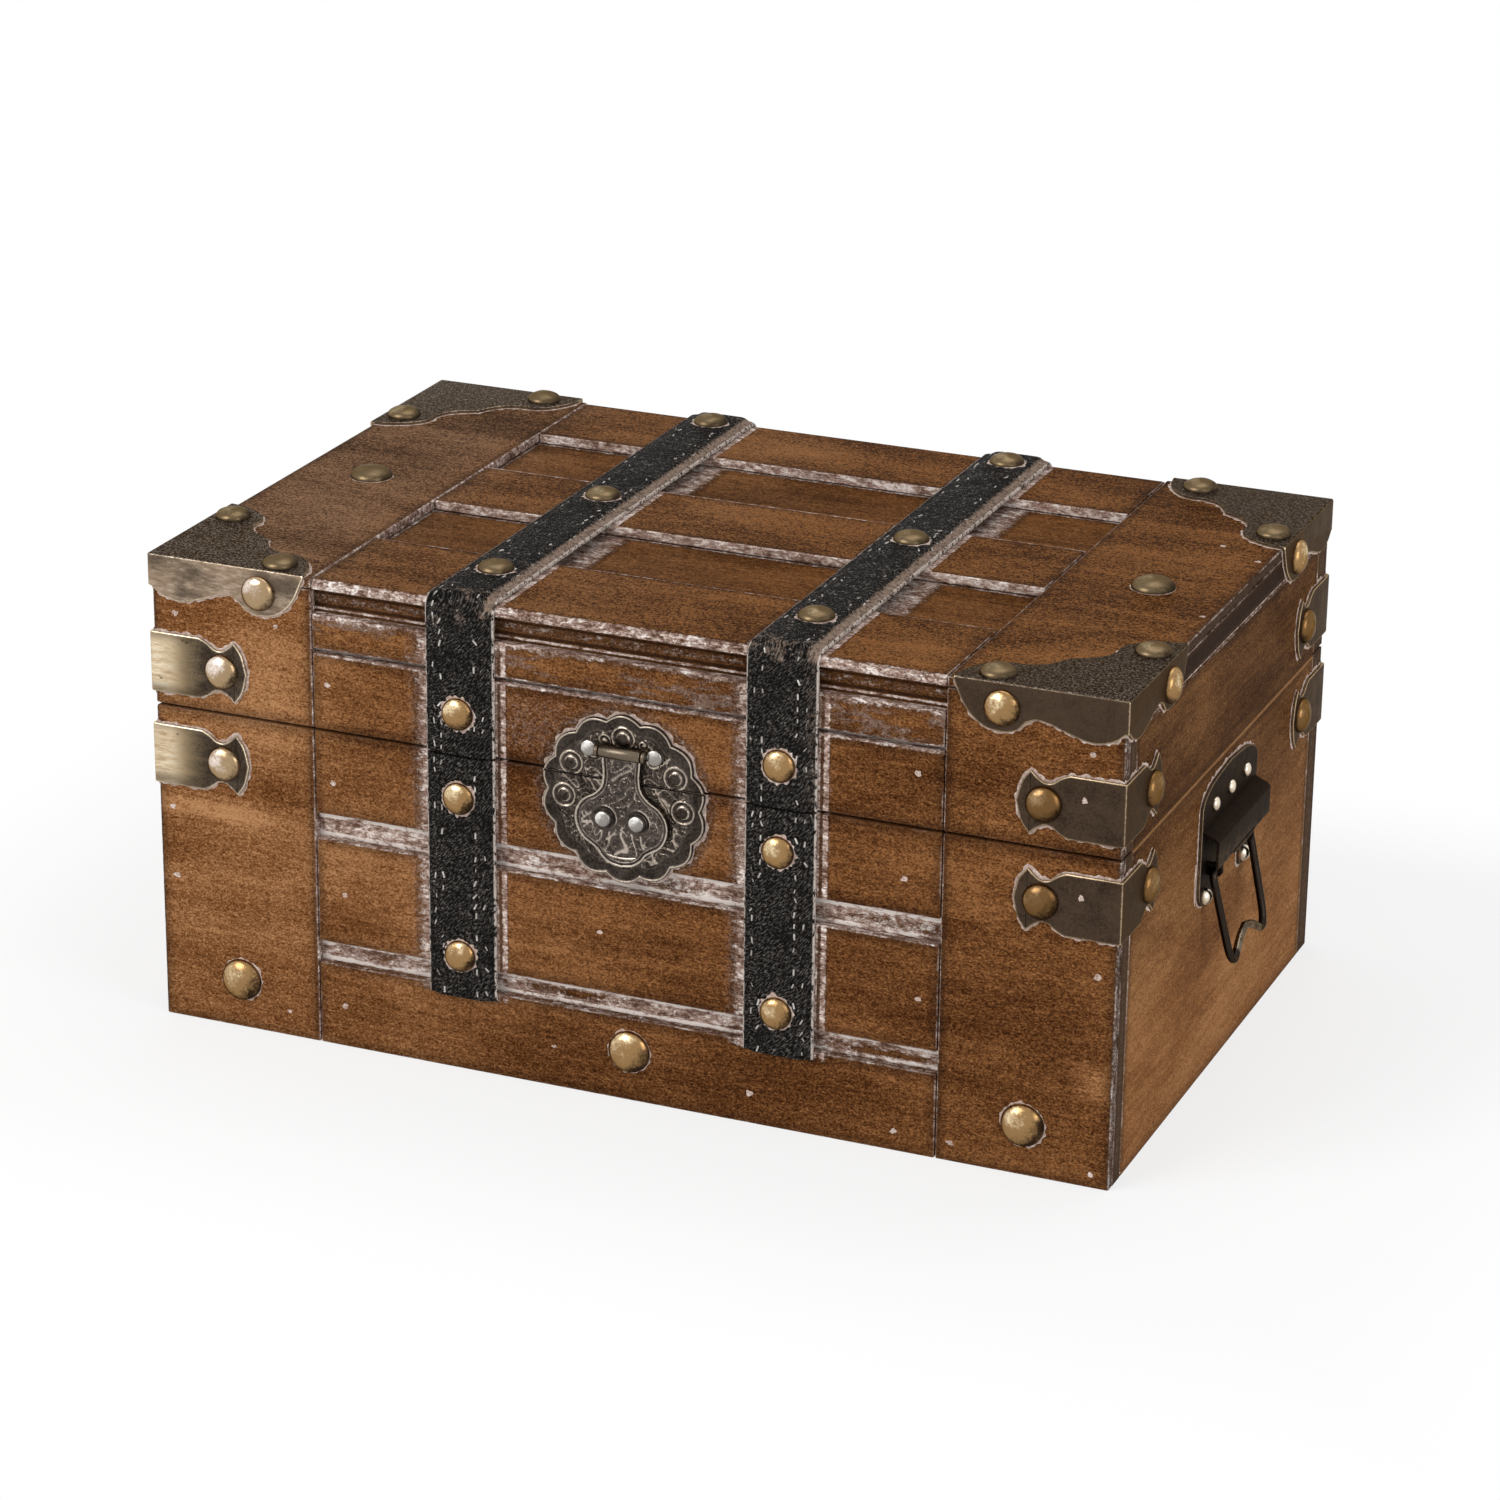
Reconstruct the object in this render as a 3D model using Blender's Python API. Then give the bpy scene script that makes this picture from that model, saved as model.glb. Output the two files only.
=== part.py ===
"""Small wooden treasure chest with raised boards, leather straps and antique metal fittings.

The chest is a box of thin boards. Its front and top carry a second layer of raised boards
with shallow recesses between them. Two leather straps run over the lid, sheet metal caps
cover the corners of the lid, and eight brackets wrap the upright edges. The lid turns on two
butt hinges at the back, a hasp hangs from the lid over a round lock plate, and a wire bail
hangs at each end.

Units are metres, +Z is up, the front faces -Y, and the origin is the middle of the underside.
"""

import math

import bmesh
import bpy
from mathutils import Matrix, Vector

# Clearance between pieces that rest on each other
GAP = 0.0003

# Radial clearance of a pin in its bore
RUNNING = 0.0001

# Points closer than this are one point
WELD = 0.000002

# Overall box
WIDTH = 0.300
DEPTH = 0.192
BASE_HEIGHT = 0.0995
PARTING_GAP = 0.0008
LID_HEIGHT = 0.0457

# Boards of the box
WALL = 0.0065
BACK_WALL = 0.0095
FLOOR = 0.005
LID_PANEL = 0.008

# Raised boards on the front and the top
BOARD = 0.003
BOARD_EDGE = 0.0005
END_BOARD = 0.052
LOWER_SLAT = 0.0262
LOWER_GROOVE = 0.0068
MIDDLE_SLAT = 0.0328
UPPER_GROOVE = 0.0079
LID_RECESS = 0.0074
LID_UPPER_SLAT = 0.0107
LID_GROOVE = 0.0013
TOP_FRONT_SLAT = 0.0417
TOP_FRONT_RECESS = 0.0388
TOP_MIDDLE_SLAT = 0.0368
TOP_BACK_RECESS = 0.0377
TOP_NOSE = 0.0022

# Leather straps
STRAP_X = 0.0498
STRAP_WIDTH = 0.0215
STRAP_THICKNESS = 0.0024
STRAP_EDGE = 0.0011
STRAP_MARGIN = 0.0045
STRAP_INNER_BEND = 0.0032
STRAP_FOOT = 0.0242
STRAP_BACK_CUT = 0.0032
STRAP_TACK_FROM_PARTING = 0.0126
STRAP_TACK_FROM_FOOT = 0.0133
STRAP_TACK_FRONT = 0.0235
STRAP_TACK_MIDDLE = 0.098
STRAP_TACK_BACK = 0.0115

# Domed tacks
TACK_SIDES = 12
TACK_RINGS = 2
TACK_RIM = 0.0003
TACK_SINK = 0.0002
STRAP_TACK_RADIUS = 0.0049
TOP_TACK_RADIUS = 0.0054
CAP_TACK_RADIUS = 0.0053
LARGE_TACK_RADIUS = 0.0065
TACK_RISE = 0.52
LARGE_TACK_X = 0.124
LARGE_TACK_Z = 0.0157
CENTRE_TACK_X = 0.003
TOP_TACK_X = 0.126
TOP_TACK_Y = -0.002

# Sheet metal corner caps and brackets
SHEET = 0.0007
SHEET_FOLD = 0.0004
CAP_ARM = 0.050
CAP_ARM_WIDTH = 0.0152
CAP_CUSP = 0.0252
CAP_DROP = 0.0134
CAP_TOP_TACK_ALONG = 0.0393
CAP_TOP_TACK_IN = 0.0058
CAP_SIDE_TACK_ALONG = 0.0356
CAP_SIDE_TACK_DOWN = 0.0064
BRACKET_REACH = 0.0308
BRACKET_HALF_HEIGHT = 0.0093
BRACKET_NECK = 0.0062
BRACKET_TACK = 0.0227
BRACKET_ABOVE_PARTING = 0.0132
BRACKET_BELOW_PARTING = 0.0148

# Round lock plate
LOCK_X = 0.0015
LOCK_BELOW_PARTING = 0.0052
LOCK_RADIUS = 0.0256
LOCK_NOTCH = 0.0018
LOCK_LOBES = 14
LOCK_SHEET = 0.0008
LOCK_BOSS_RADIUS = 0.0026
LOCK_BOSS_RISE = 0.0010
LOCK_BOSS_CIRCLE = 0.0185
LOCK_NAIL_X = 0.0102
LOCK_NAIL_RADIUS = 0.0021
LOCK_NAIL_RISE = 0.0022

# Hasp, its rolled barrel and its pin
HASP_AXIS_RISE = 0.0147
HASP_BARREL_RADIUS = 0.0018
HASP_BARREL_LENGTH = 0.0128
HASP_PIN_RADIUS = 0.0007
HASP_EAR = 0.0011
HASP_SHEET = 0.0010
HASP_STANDOFF = 0.0004
HASP_LENGTH = 0.0348
HASP_HALF_WIDTH = 0.01445
HASP_NECK = 0.00565
HASP_KNOB_X = 0.0052
HASP_KNOB_DROP = 0.0204
HASP_KNOB_RADIUS = 0.0021
HASP_KNOB_RISE = 0.0022
HASP_COLLAR = 0.0009
HASP_COLLAR_RISE = 0.0005

# Butt hinges on the back
HINGE_X = 0.074
HINGE_LENGTH = 0.026
HINGE_LEAF = 0.0108
HINGE_SHEET = 0.0008
HINGE_KNUCKLE_RADIUS = 0.0020
HINGE_PIN_RADIUS = 0.0007
HINGE_CENTRE_KNUCKLE = 0.0094
HINGE_SCREW_X = 0.0085
HINGE_SCREW_RADIUS = 0.0019
HINGE_SCREW_RISE = 0.0005

# End handles
HANDLE_Y = 0.0015
HANDLE_BELOW_PARTING = 0.0035
HANDLE_SHEET = 0.0008
HANDLE_PLATE_HEIGHT = 0.0385
HANDLE_HALF_WIDTH = 0.0265
HANDLE_ARCH = 0.0075
HANDLE_CORNER = 0.006
HANDLE_NOTCH_HALF_WIDTH = 0.0125
HANDLE_NOTCH_DROP = 0.0295
HANDLE_FOOT_CORNER = 0.0015
HOOD_HALF_WIDTH = 0.025
HOOD_DEPTH = 0.0055
HOOD_TOP_DROP = 0.0148
HOOD_SLOPE = 0.0020
HOOD_FRONT_HEIGHT = 0.0082
HOOD_BULGE = 0.0010
HOOD_LIP_HALF_WIDTH = 0.0110
LUG_Y = 0.0150
LUG_THICKNESS = 0.0012
LUG_WALL = 0.0010
BAIL_RADIUS = 0.0012
BAIL_SIDES = 10
BAIL_OUT = 0.0032
BAIL_AXIS_DROP = 0.0275
BAIL_SHIFT = -0.0035
BAIL_LEAN = math.radians(13.0)
BAIL_HALF_WIDTH = 0.018
BAIL_LENGTH = 0.0286
BAIL_NOTCH = 0.0055
BAIL_JOURNAL = 0.0065
HANDLE_NAIL_RADIUS = 0.0022
HANDLE_NAIL_RISE = 0.0014
HANDLE_NAIL_PITCH = 0.015
HANDLE_NAIL_DROP = 0.0088
HANDLE_STOP_Y = 0.0184
HANDLE_STOP_DROP = 0.0350
HANDLE_STOP_RADIUS = 0.0026
HANDLE_STOP_RISE = 0.0024

# Lengths that follow from the sizes above
HEIGHT = BASE_HEIGHT + PARTING_GAP + LID_HEIGHT
HALF_WIDTH = WIDTH / 2
HALF_DEPTH = DEPTH / 2
LID_BOTTOM = BASE_HEIGHT + PARTING_GAP
WALL_FRONT = -HALF_DEPTH + BOARD + GAP
WALL_BACK = HALF_DEPTH - BACK_WALL
PANEL_TOP = HEIGHT - BOARD - GAP
PANEL_BOTTOM = PANEL_TOP - LID_PANEL
BOARD_INNER_X = HALF_WIDTH - END_BOARD - GAP
LOCK_Z = BASE_HEIGHT - LOCK_BELOW_PARTING
LOCK_FACE = -HALF_DEPTH - GAP - LOCK_SHEET
HASP_AXIS_Z = LOCK_Z + HASP_AXIS_RISE
HASP_AXIS_Y = LOCK_FACE - GAP - HASP_BARREL_RADIUS
HINGE_AXIS_Y = HALF_DEPTH + GAP + HINGE_KNUCKLE_RADIUS
HINGE_AXIS_Z = BASE_HEIGHT + PARTING_GAP / 2
HANDLE_TOP = BASE_HEIGHT - HANDLE_BELOW_PARTING
BAIL_AXIS_Z = HANDLE_TOP - BAIL_AXIS_DROP
BAIL_Y = HANDLE_Y + BAIL_SHIFT

# Finishes: base colour, roughness, metallic
WOOD = ((0.155, 0.062, 0.022, 1.0), 0.5, 0.0)
WOOD_SIDE = ((0.230, 0.095, 0.030, 1.0), 0.5, 0.0)
WOOD_INSIDE = ((0.330, 0.190, 0.090, 1.0), 0.7, 0.0)
LEATHER = ((0.018, 0.016, 0.015, 1.0), 0.55, 0.0)
BRONZE = ((0.075, 0.058, 0.042, 1.0), 0.4, 1.0)
GUNMETAL = ((0.110, 0.100, 0.090, 1.0), 0.4, 1.0)
STEEL = ((0.420, 0.410, 0.400, 1.0), 0.35, 1.0)


def clear_scene():
    """Remove every object of the scene that the script was opened in."""
    for old in list(bpy.data.objects):
        bpy.data.objects.remove(old)


def make_object(name, bm):
    """Turn a bmesh into a named object at the world's origin."""
    bmesh.ops.recalc_face_normals(bm, faces=bm.faces)
    mesh = bpy.data.meshes.new(name)
    bm.to_mesh(mesh)
    bm.free()
    made = bpy.data.objects.new(name, mesh)
    bpy.context.scene.collection.objects.link(made)
    return made


def make_empty(name, position, parent=None):
    """An empty on a joint's axis, which its moving pieces are parented to."""
    axis = bpy.data.objects.new(name, None)
    axis.empty_display_size = 0.02
    bpy.context.scene.collection.objects.link(axis)
    axis.location = Vector(position)
    if parent is not None:
        axis.parent = parent
        axis.location = Vector(position) - world_position(parent)
    return axis


def world_position(thing):
    """World position of an object whose parents are only moved, not turned."""
    place = Vector(thing.location)
    if thing.parent is not None:
        place += world_position(thing.parent)
    return place


def finish(made, look, parent=None, origin=None, smooth=False):
    """Give a piece its origin, parent, shading and its own material."""
    colour, roughness, metallic = look
    if origin is None:
        corners = [Vector(corner) for corner in made.bound_box]
        origin = sum(corners, Vector()) / len(corners)
    origin = Vector(origin)
    made.data.transform(Matrix.Translation(-origin))
    made.location = origin
    if parent is not None:
        made.parent = parent
        made.location = origin - world_position(parent)
    material = bpy.data.materials.new(made.name + "_finish")
    material.use_nodes = True
    shader = material.node_tree.nodes["Principled BSDF"]
    shader.inputs["Base Color"].default_value = colour
    shader.inputs["Roughness"].default_value = roughness
    shader.inputs["Metallic"].default_value = metallic
    made.data.materials.clear()
    made.data.materials.append(material)
    if smooth:
        made.data.shade_smooth()
        made.data.set_sharp_from_angle(angle=math.radians(35))
    return made


def combine(target, others, operation="UNION"):
    """Join solids into the target, or cut them from it, and remove what was used."""
    for other in others:
        step = target.modifiers.new("combine", "BOOLEAN")
        step.operation = operation
        step.solver = "EXACT"
        step.object = other
    bpy.context.view_layer.update()
    graph = bpy.context.evaluated_depsgraph_get()
    result = bpy.data.meshes.new_from_object(target.evaluated_get(graph))
    target.modifiers.clear()
    target.data = result
    bm = bmesh.new()
    bm.from_mesh(result)
    bmesh.ops.remove_doubles(bm, verts=bm.verts, dist=WELD)
    bmesh.ops.dissolve_limit(bm, angle_limit=math.radians(0.05), verts=bm.verts, edges=bm.edges)
    bm.to_mesh(result)
    bm.free()
    for other in others:
        bpy.data.objects.remove(other)
    return target


def mirror_copy(source, name, flip_x=False, flip_y=False):
    """A copy of a piece, mirrored in the world's X or Y."""
    mesh = source.data.copy()
    if flip_x:
        mesh.transform(Matrix.Scale(-1, 4, (1, 0, 0)))
    if flip_y:
        mesh.transform(Matrix.Scale(-1, 4, (0, 1, 0)))
    if flip_x != flip_y:
        mesh.flip_normals()
    made = bpy.data.objects.new(name, mesh)
    bpy.context.scene.collection.objects.link(made)
    return made


def facing(direction, origin):
    """Matrix that stands a piece made along +Z on a face with this outward direction."""
    turn = Vector(direction).to_track_quat("Z", "Y").to_matrix().to_4x4()
    return Matrix.Translation(Vector(origin)) @ turn


def plane_matrix(along, up, origin):
    """Matrix from flat coordinates to the plane through origin; +Z is along cross up."""
    along = Vector(along)
    up = Vector(up)
    out = along.cross(up)
    turn = Matrix((along, up, out)).transposed().to_4x4()
    return Matrix.Translation(Vector(origin)) @ turn


def box(name, low, high, edge=0.0):
    """A board between two corners, with its edges taken off where edge is given."""
    low = Vector(low)
    high = Vector(high)
    bm = bmesh.new()
    size = high - low
    place = Matrix.Translation((low + high) / 2) @ Matrix.Diagonal((*size, 1.0))
    bmesh.ops.create_cube(bm, size=1.0, matrix=place)
    if edge > 0.0:
        bmesh.ops.bevel(bm, geom=list(bm.edges), offset=edge, offset_type="OFFSET",
                        segments=1, profile=0.5, affect="EDGES", material=-1)
    return make_object(name, bm)


def plate(name, outline, thickness, place):
    """A flat outline pushed out to a thickness, then placed by a matrix."""
    bm = bmesh.new()
    corners = [bm.verts.new((u, v, 0.0)) for u, v in outline]
    face = bm.faces.new(corners)
    pushed = bmesh.ops.extrude_face_region(bm, geom=[face])
    top = [part for part in pushed["geom"] if isinstance(part, bmesh.types.BMVert)]
    bmesh.ops.translate(bm, verts=top, vec=(0.0, 0.0, thickness))
    bmesh.ops.transform(bm, matrix=place, verts=bm.verts)
    return make_object(name, bm)


def cylinder(name, radius, length, place, sides=16):
    """A round bar centred on its place, along the place's Z."""
    bm = bmesh.new()
    bmesh.ops.create_cone(bm, cap_ends=True, segments=sides, radius1=radius, radius2=radius,
                          depth=length, matrix=place)
    return make_object(name, bm)


def turned(name, profile, place, sides):
    """A profile of (radius, height) points turned about the place's Z, closed at both ends."""
    bm = bmesh.new()
    points = [bm.verts.new((radius, 0.0, height)) for radius, height in profile]
    edges = [bm.edges.new(pair) for pair in zip(points, points[1:])]
    bmesh.ops.spin(bm, geom=points + edges, cent=(0, 0, 0), axis=(0, 0, 1),
                   angle=math.tau, steps=sides, use_merge=True)
    bmesh.ops.remove_doubles(bm, verts=bm.verts, dist=1e-6)
    rim = [edge for edge in bm.edges if edge.is_boundary]
    bmesh.ops.contextual_create(bm, geom=rim)
    bmesh.ops.transform(bm, matrix=place, verts=bm.verts)
    return make_object(name, bm)


def dome(radius, rise, place, sides=TACK_SIDES, rings=TACK_RINGS, sink=TACK_SINK):
    """A domed nail head that stands on the place and sinks a little into it."""
    profile = [(radius, -sink), (radius, TACK_RIM)]
    for ring in range(1, rings + 1):
        angle = math.pi / 2 * ring / rings
        profile.append((radius * math.cos(angle), TACK_RIM + (rise - TACK_RIM) * math.sin(angle)))
    profile[-1] = (0.0, rise)
    return turned("dome", profile, place, sides)


def smooth_curve(points, steps=3):
    """Points of a smooth curve through the given points."""
    points = [Vector((u, v)) for u, v in points]
    ends = [points[0] * 2 - points[1]] + points + [points[-1] * 2 - points[-2]]
    curve = []
    for before, start, end, after in zip(ends, ends[1:], ends[2:], ends[3:]):
        for step in range(steps):
            t = step / steps
            bend = (2 * start + (end - before) * t
                    + (2 * before - 5 * start + 4 * end - after) * t * t
                    + (3 * start - before - 3 * end + after) * t ** 3)
            curve.append((bend.x / 2, bend.y / 2))
    curve.append((points[-1].x, points[-1].y))
    return curve


def arc(centre, radius, start, end, steps):
    """Points of an arc between two angles in degrees, both ends included."""
    points = []
    for step in range(steps + 1):
        angle = math.radians(start + (end - start) * step / steps)
        points.append((centre[0] + radius * math.cos(angle), centre[1] + radius * math.sin(angle)))
    return points


def build_base():
    """Floor and four walls of the lower box."""
    finish(box("base_floor",
               (-HALF_WIDTH + WALL + GAP, WALL_FRONT + WALL + GAP, 0.0),
               (HALF_WIDTH - WALL - GAP, WALL_BACK - GAP, FLOOR)), WOOD_INSIDE)
    finish(box("base_front_wall", (-HALF_WIDTH, WALL_FRONT, 0.0),
               (HALF_WIDTH, WALL_FRONT + WALL, BASE_HEIGHT)), WOOD)
    finish(box("base_back_wall", (-HALF_WIDTH, WALL_BACK, 0.0),
               (HALF_WIDTH, HALF_DEPTH, BASE_HEIGHT)), WOOD_SIDE)
    for side, sign in (("left", -1), ("right", 1)):
        inner = sign * (HALF_WIDTH - WALL)
        outer = sign * HALF_WIDTH
        finish(box("base_" + side + "_wall",
                   (min(inner, outer), WALL_FRONT + WALL + GAP, 0.0),
                   (max(inner, outer), WALL_BACK - GAP, BASE_HEIGHT)), WOOD_SIDE)


def build_lid_box(lid):
    """Top panel and four walls of the lid."""
    finish(box("lid_top_panel", (-HALF_WIDTH, WALL_FRONT, PANEL_BOTTOM),
               (HALF_WIDTH, HALF_DEPTH, PANEL_TOP)), WOOD, lid)
    finish(box("lid_front_wall", (-HALF_WIDTH, WALL_FRONT, LID_BOTTOM),
               (HALF_WIDTH, WALL_FRONT + WALL, PANEL_BOTTOM - GAP)), WOOD, lid)
    finish(box("lid_back_wall", (-HALF_WIDTH, WALL_BACK, LID_BOTTOM),
               (HALF_WIDTH, HALF_DEPTH, PANEL_BOTTOM - GAP)), WOOD_SIDE, lid)
    for side, sign in (("left", -1), ("right", 1)):
        inner = sign * (HALF_WIDTH - WALL)
        outer = sign * HALF_WIDTH
        finish(box("lid_" + side + "_wall",
                   (min(inner, outer), WALL_FRONT + WALL + GAP, LID_BOTTOM),
                   (max(inner, outer), WALL_BACK - GAP, PANEL_BOTTOM - GAP)), WOOD_SIDE, lid)


def raised_board(name, low, high, look, parent=None, tacks=()):
    """A raised board with its edges taken off, and the large tacks that are driven into it."""
    board = box(name, low, high, BOARD_EDGE)
    heads = [dome(LARGE_TACK_RADIUS, LARGE_TACK_RADIUS * TACK_RISE, facing(out, spot))
             for spot, out in tacks]
    if heads:
        combine(board, heads)
    return finish(board, look, parent)


def build_front_boards(lid):
    """End boards and slats on the front of the base and of the lid."""
    front = -HALF_DEPTH
    back = front + BOARD
    outward = (0, -1, 0)
    for side, sign in (("left", -1), ("right", 1)):
        ends = sorted((sign * (HALF_WIDTH - END_BOARD), sign * HALF_WIDTH))
        tack = (sign * LARGE_TACK_X, front, LARGE_TACK_Z)
        raised_board("base_front_end_board_" + side, (ends[0], front, 0.0),
                     (ends[1], back, BASE_HEIGHT), WOOD, tacks=[(tack, outward)])
        raised_board("lid_front_end_board_" + side, (ends[0], front, LID_BOTTOM),
                     (ends[1], back, HEIGHT - BOARD - GAP), WOOD, lid)
    middle_bottom = LOWER_SLAT + LOWER_GROOVE
    upper_bottom = middle_bottom + MIDDLE_SLAT + UPPER_GROOVE
    tack = (CENTRE_TACK_X, front, LARGE_TACK_Z)
    raised_board("base_front_slat_lower", (-BOARD_INNER_X, front, 0.0),
                 (BOARD_INNER_X, back, LOWER_SLAT), WOOD, tacks=[(tack, outward)])
    raised_board("base_front_slat_middle", (-BOARD_INNER_X, front, middle_bottom),
                 (BOARD_INNER_X, back, middle_bottom + MIDDLE_SLAT), WOOD)
    raised_board("base_front_slat_upper", (-BOARD_INNER_X, front, upper_bottom),
                 (BOARD_INNER_X, back, BASE_HEIGHT), WOOD)
    slat_top = HEIGHT - BOARD - LID_RECESS
    slat_bottom = slat_top - LID_UPPER_SLAT
    raised_board("lid_front_slat_upper", (-BOARD_INNER_X, front, slat_bottom),
                 (BOARD_INNER_X, back, slat_top), WOOD, lid)
    raised_board("lid_front_slat_lower", (-BOARD_INNER_X, front, LID_BOTTOM),
                 (BOARD_INNER_X, back, slat_bottom - LID_GROOVE), WOOD, lid)


def build_top_boards(lid):
    """End boards and slats on the top, with two recesses between the slats."""
    low = HEIGHT - BOARD
    for side, sign in (("left", -1), ("right", 1)):
        ends = sorted((sign * (HALF_WIDTH - END_BOARD), sign * HALF_WIDTH))
        tack = (sign * TOP_TACK_X, TOP_TACK_Y, HEIGHT)
        raised_board("lid_top_end_board_" + side, (ends[0], -HALF_DEPTH, low),
                     (ends[1], HALF_DEPTH, HEIGHT), WOOD, lid, tacks=[(tack, (0, 0, 1))])
    front_end = -HALF_DEPTH + TOP_FRONT_SLAT
    middle_start = front_end + TOP_FRONT_RECESS
    middle_end = middle_start + TOP_MIDDLE_SLAT
    back_start = middle_end + TOP_BACK_RECESS
    raised_board("lid_top_slat_middle", (-BOARD_INNER_X, middle_start, low),
                 (BOARD_INNER_X, middle_end, HEIGHT), WOOD, lid)
    nosed = (("lid_top_slat_front", -HALF_DEPTH, front_end, -HALF_DEPTH),
             ("lid_top_slat_back", back_start, HALF_DEPTH, HALF_DEPTH))
    for name, start, end, nose in nosed:
        slat = box(name, (-BOARD_INNER_X, start, low), (BOARD_INNER_X, end, HEIGHT))
        bm = bmesh.new()
        bm.from_mesh(slat.data)
        edges = [edge for edge in bm.edges
                 if all(abs(vert.co.y - nose) < GAP and abs(vert.co.z - HEIGHT) < GAP
                        for vert in edge.verts)]
        bmesh.ops.bevel(bm, geom=edges, offset=TOP_NOSE, offset_type="OFFSET", segments=3,
                        profile=0.5, affect="EDGES", material=-1)
        bm.to_mesh(slat.data)
        bm.free()
        finish(slat, WOOD, lid)


def strap_section():
    """Cross-section of a strap, (across, out): a padded middle and thinner sewn margins."""
    half = STRAP_WIDTH / 2
    crown = half - STRAP_MARGIN
    return [(-half, 0.0), (half, 0.0), (half, STRAP_EDGE), (crown, STRAP_THICKNESS),
            (-crown, STRAP_THICKNESS), (-half, STRAP_EDGE)]


def strap(name, centre_x, path, parent, tacks):
    """A strap swept along path, a list of (y, z, out_y, out_z) stations, with its tacks."""
    bm = bmesh.new()
    section = strap_section()
    rings = []
    for y, z, out_y, out_z in path:
        rings.append([bm.verts.new((centre_x + across, y + out * out_y, z + out * out_z))
                      for across, out in section])
    for first, second in zip(rings, rings[1:]):
        for index in range(len(section)):
            follow = (index + 1) % len(section)
            bm.faces.new((first[index], first[follow], second[follow], second[index]))
    bm.faces.new(rings[0])
    bm.faces.new(list(reversed(rings[-1])))
    made = make_object(name, bm)
    heads = [dome(radius, radius * TACK_RISE, facing(out, spot)) for spot, out, radius in tacks]
    combine(made, heads)
    return finish(made, LEATHER, parent, smooth=True)


def bend_stations(centre_y, centre_z, start, end, steps=5):
    """Stations round an edge of the lid, at the strap's inner bend radius."""
    stations = []
    for step in range(steps + 1):
        angle = math.radians(start + (end - start) * step / steps)
        out_y = math.cos(angle)
        out_z = math.sin(angle)
        stations.append((centre_y + STRAP_INNER_BEND * out_y,
                         centre_z + STRAP_INNER_BEND * out_z, out_y, out_z))
    return stations


def build_straps(lid):
    """Two straps over the lid, and their short lengths on the front and back of the base."""
    face = HALF_DEPTH + GAP
    top = HEIGHT + GAP
    surface = face + STRAP_THICKNESS
    bend_y = face - STRAP_INNER_BEND
    bend_z = top - STRAP_INNER_BEND
    above = LID_BOTTOM + STRAP_TACK_FROM_PARTING
    below = BASE_HEIGHT - STRAP_TACK_FROM_PARTING
    low = STRAP_FOOT + STRAP_TACK_FROM_FOOT
    for side, sign in (("left", -1), ("right", 1)):
        x = sign * STRAP_X
        path = [(-face, LID_BOTTOM, -1, 0)]
        path += bend_stations(-bend_y, bend_z, 180, 90)
        path += bend_stations(bend_y, bend_z, 90, 0)
        path += [(face, LID_BOTTOM + STRAP_BACK_CUT, 1, 0)]
        crown = top + STRAP_THICKNESS
        tops = (-HALF_DEPTH + STRAP_TACK_FRONT, -HALF_DEPTH + STRAP_TACK_MIDDLE,
                HALF_DEPTH - STRAP_TACK_BACK)
        tacks = [((x, y, crown), (0, 0, 1), TOP_TACK_RADIUS) for y in tops]
        tacks += [((x, -surface, above), (0, -1, 0), STRAP_TACK_RADIUS),
                  ((x, surface, above), (0, 1, 0), STRAP_TACK_RADIUS)]
        strap("lid_strap_" + side, x, path, lid, tacks)
        path = [(-face, STRAP_FOOT, -1, 0), (-face, BASE_HEIGHT, -1, 0)]
        tacks = [((x, -surface, z), (0, -1, 0), STRAP_TACK_RADIUS) for z in (low, below)]
        strap("base_front_strap_" + side, x, path, None, tacks)
        path = [(face, BASE_HEIGHT - STRAP_BACK_CUT, 1, 0), (face, STRAP_FOOT, 1, 0)]
        tacks = [((x, surface, z), (0, 1, 0), STRAP_TACK_RADIUS) for z in (low, below)]
        strap("base_back_strap_" + side, x, path, None, tacks)


def cap_top_outline(lap):
    """Outline of a cap's top flap, from the box corner; lap is the fold outside the corner."""
    arm = CAP_ARM
    wide = CAP_ARM_WIDTH
    cusp = CAP_CUSP
    lobe = smooth_curve([(arm, 0.0), (arm * 0.972, wide * 0.41), (arm * 0.892, wide * 0.82),
                         (arm * 0.80, wide), (arm * 0.70, wide)], 2)
    inner = smooth_curve([(arm * 0.70, wide), (arm * 0.61, wide * 1.14),
                          (cusp * 1.09, cusp * 0.83), (cusp, cusp)], 2)
    half = lobe + inner[1:]
    other = [(v, u) for u, v in reversed(half)]
    return [(-lap, -lap), (arm, -lap)] + half + other[1:] + [(-lap, arm)]


def cap_side_outline(lap):
    """Outline of a cap's front or side flap: along the edge, and down from the top."""
    arm = CAP_ARM
    drop = CAP_DROP
    corner = smooth_curve([(0.0, drop * 0.67), (arm * 0.07, drop * 0.86), (arm * 0.18, drop * 0.95),
                           (arm * 0.30, drop * 0.86), (arm * 0.42, drop * 0.70),
                           (arm * 0.51, drop * 0.64), (arm * 0.57, drop * 0.72)], 2)
    lobe = smooth_curve([(arm * 0.57, drop * 0.72), (arm * 0.63, drop * 0.94),
                         (arm * 0.72, drop), (arm * 0.83, drop * 0.91),
                         (arm * 0.93, drop * 0.56), (arm, 0.0)], 2)
    return ([(-lap, -lap), (-lap, drop * 0.67)] + corner + lobe[1:] + [(arm, -lap)])


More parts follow.
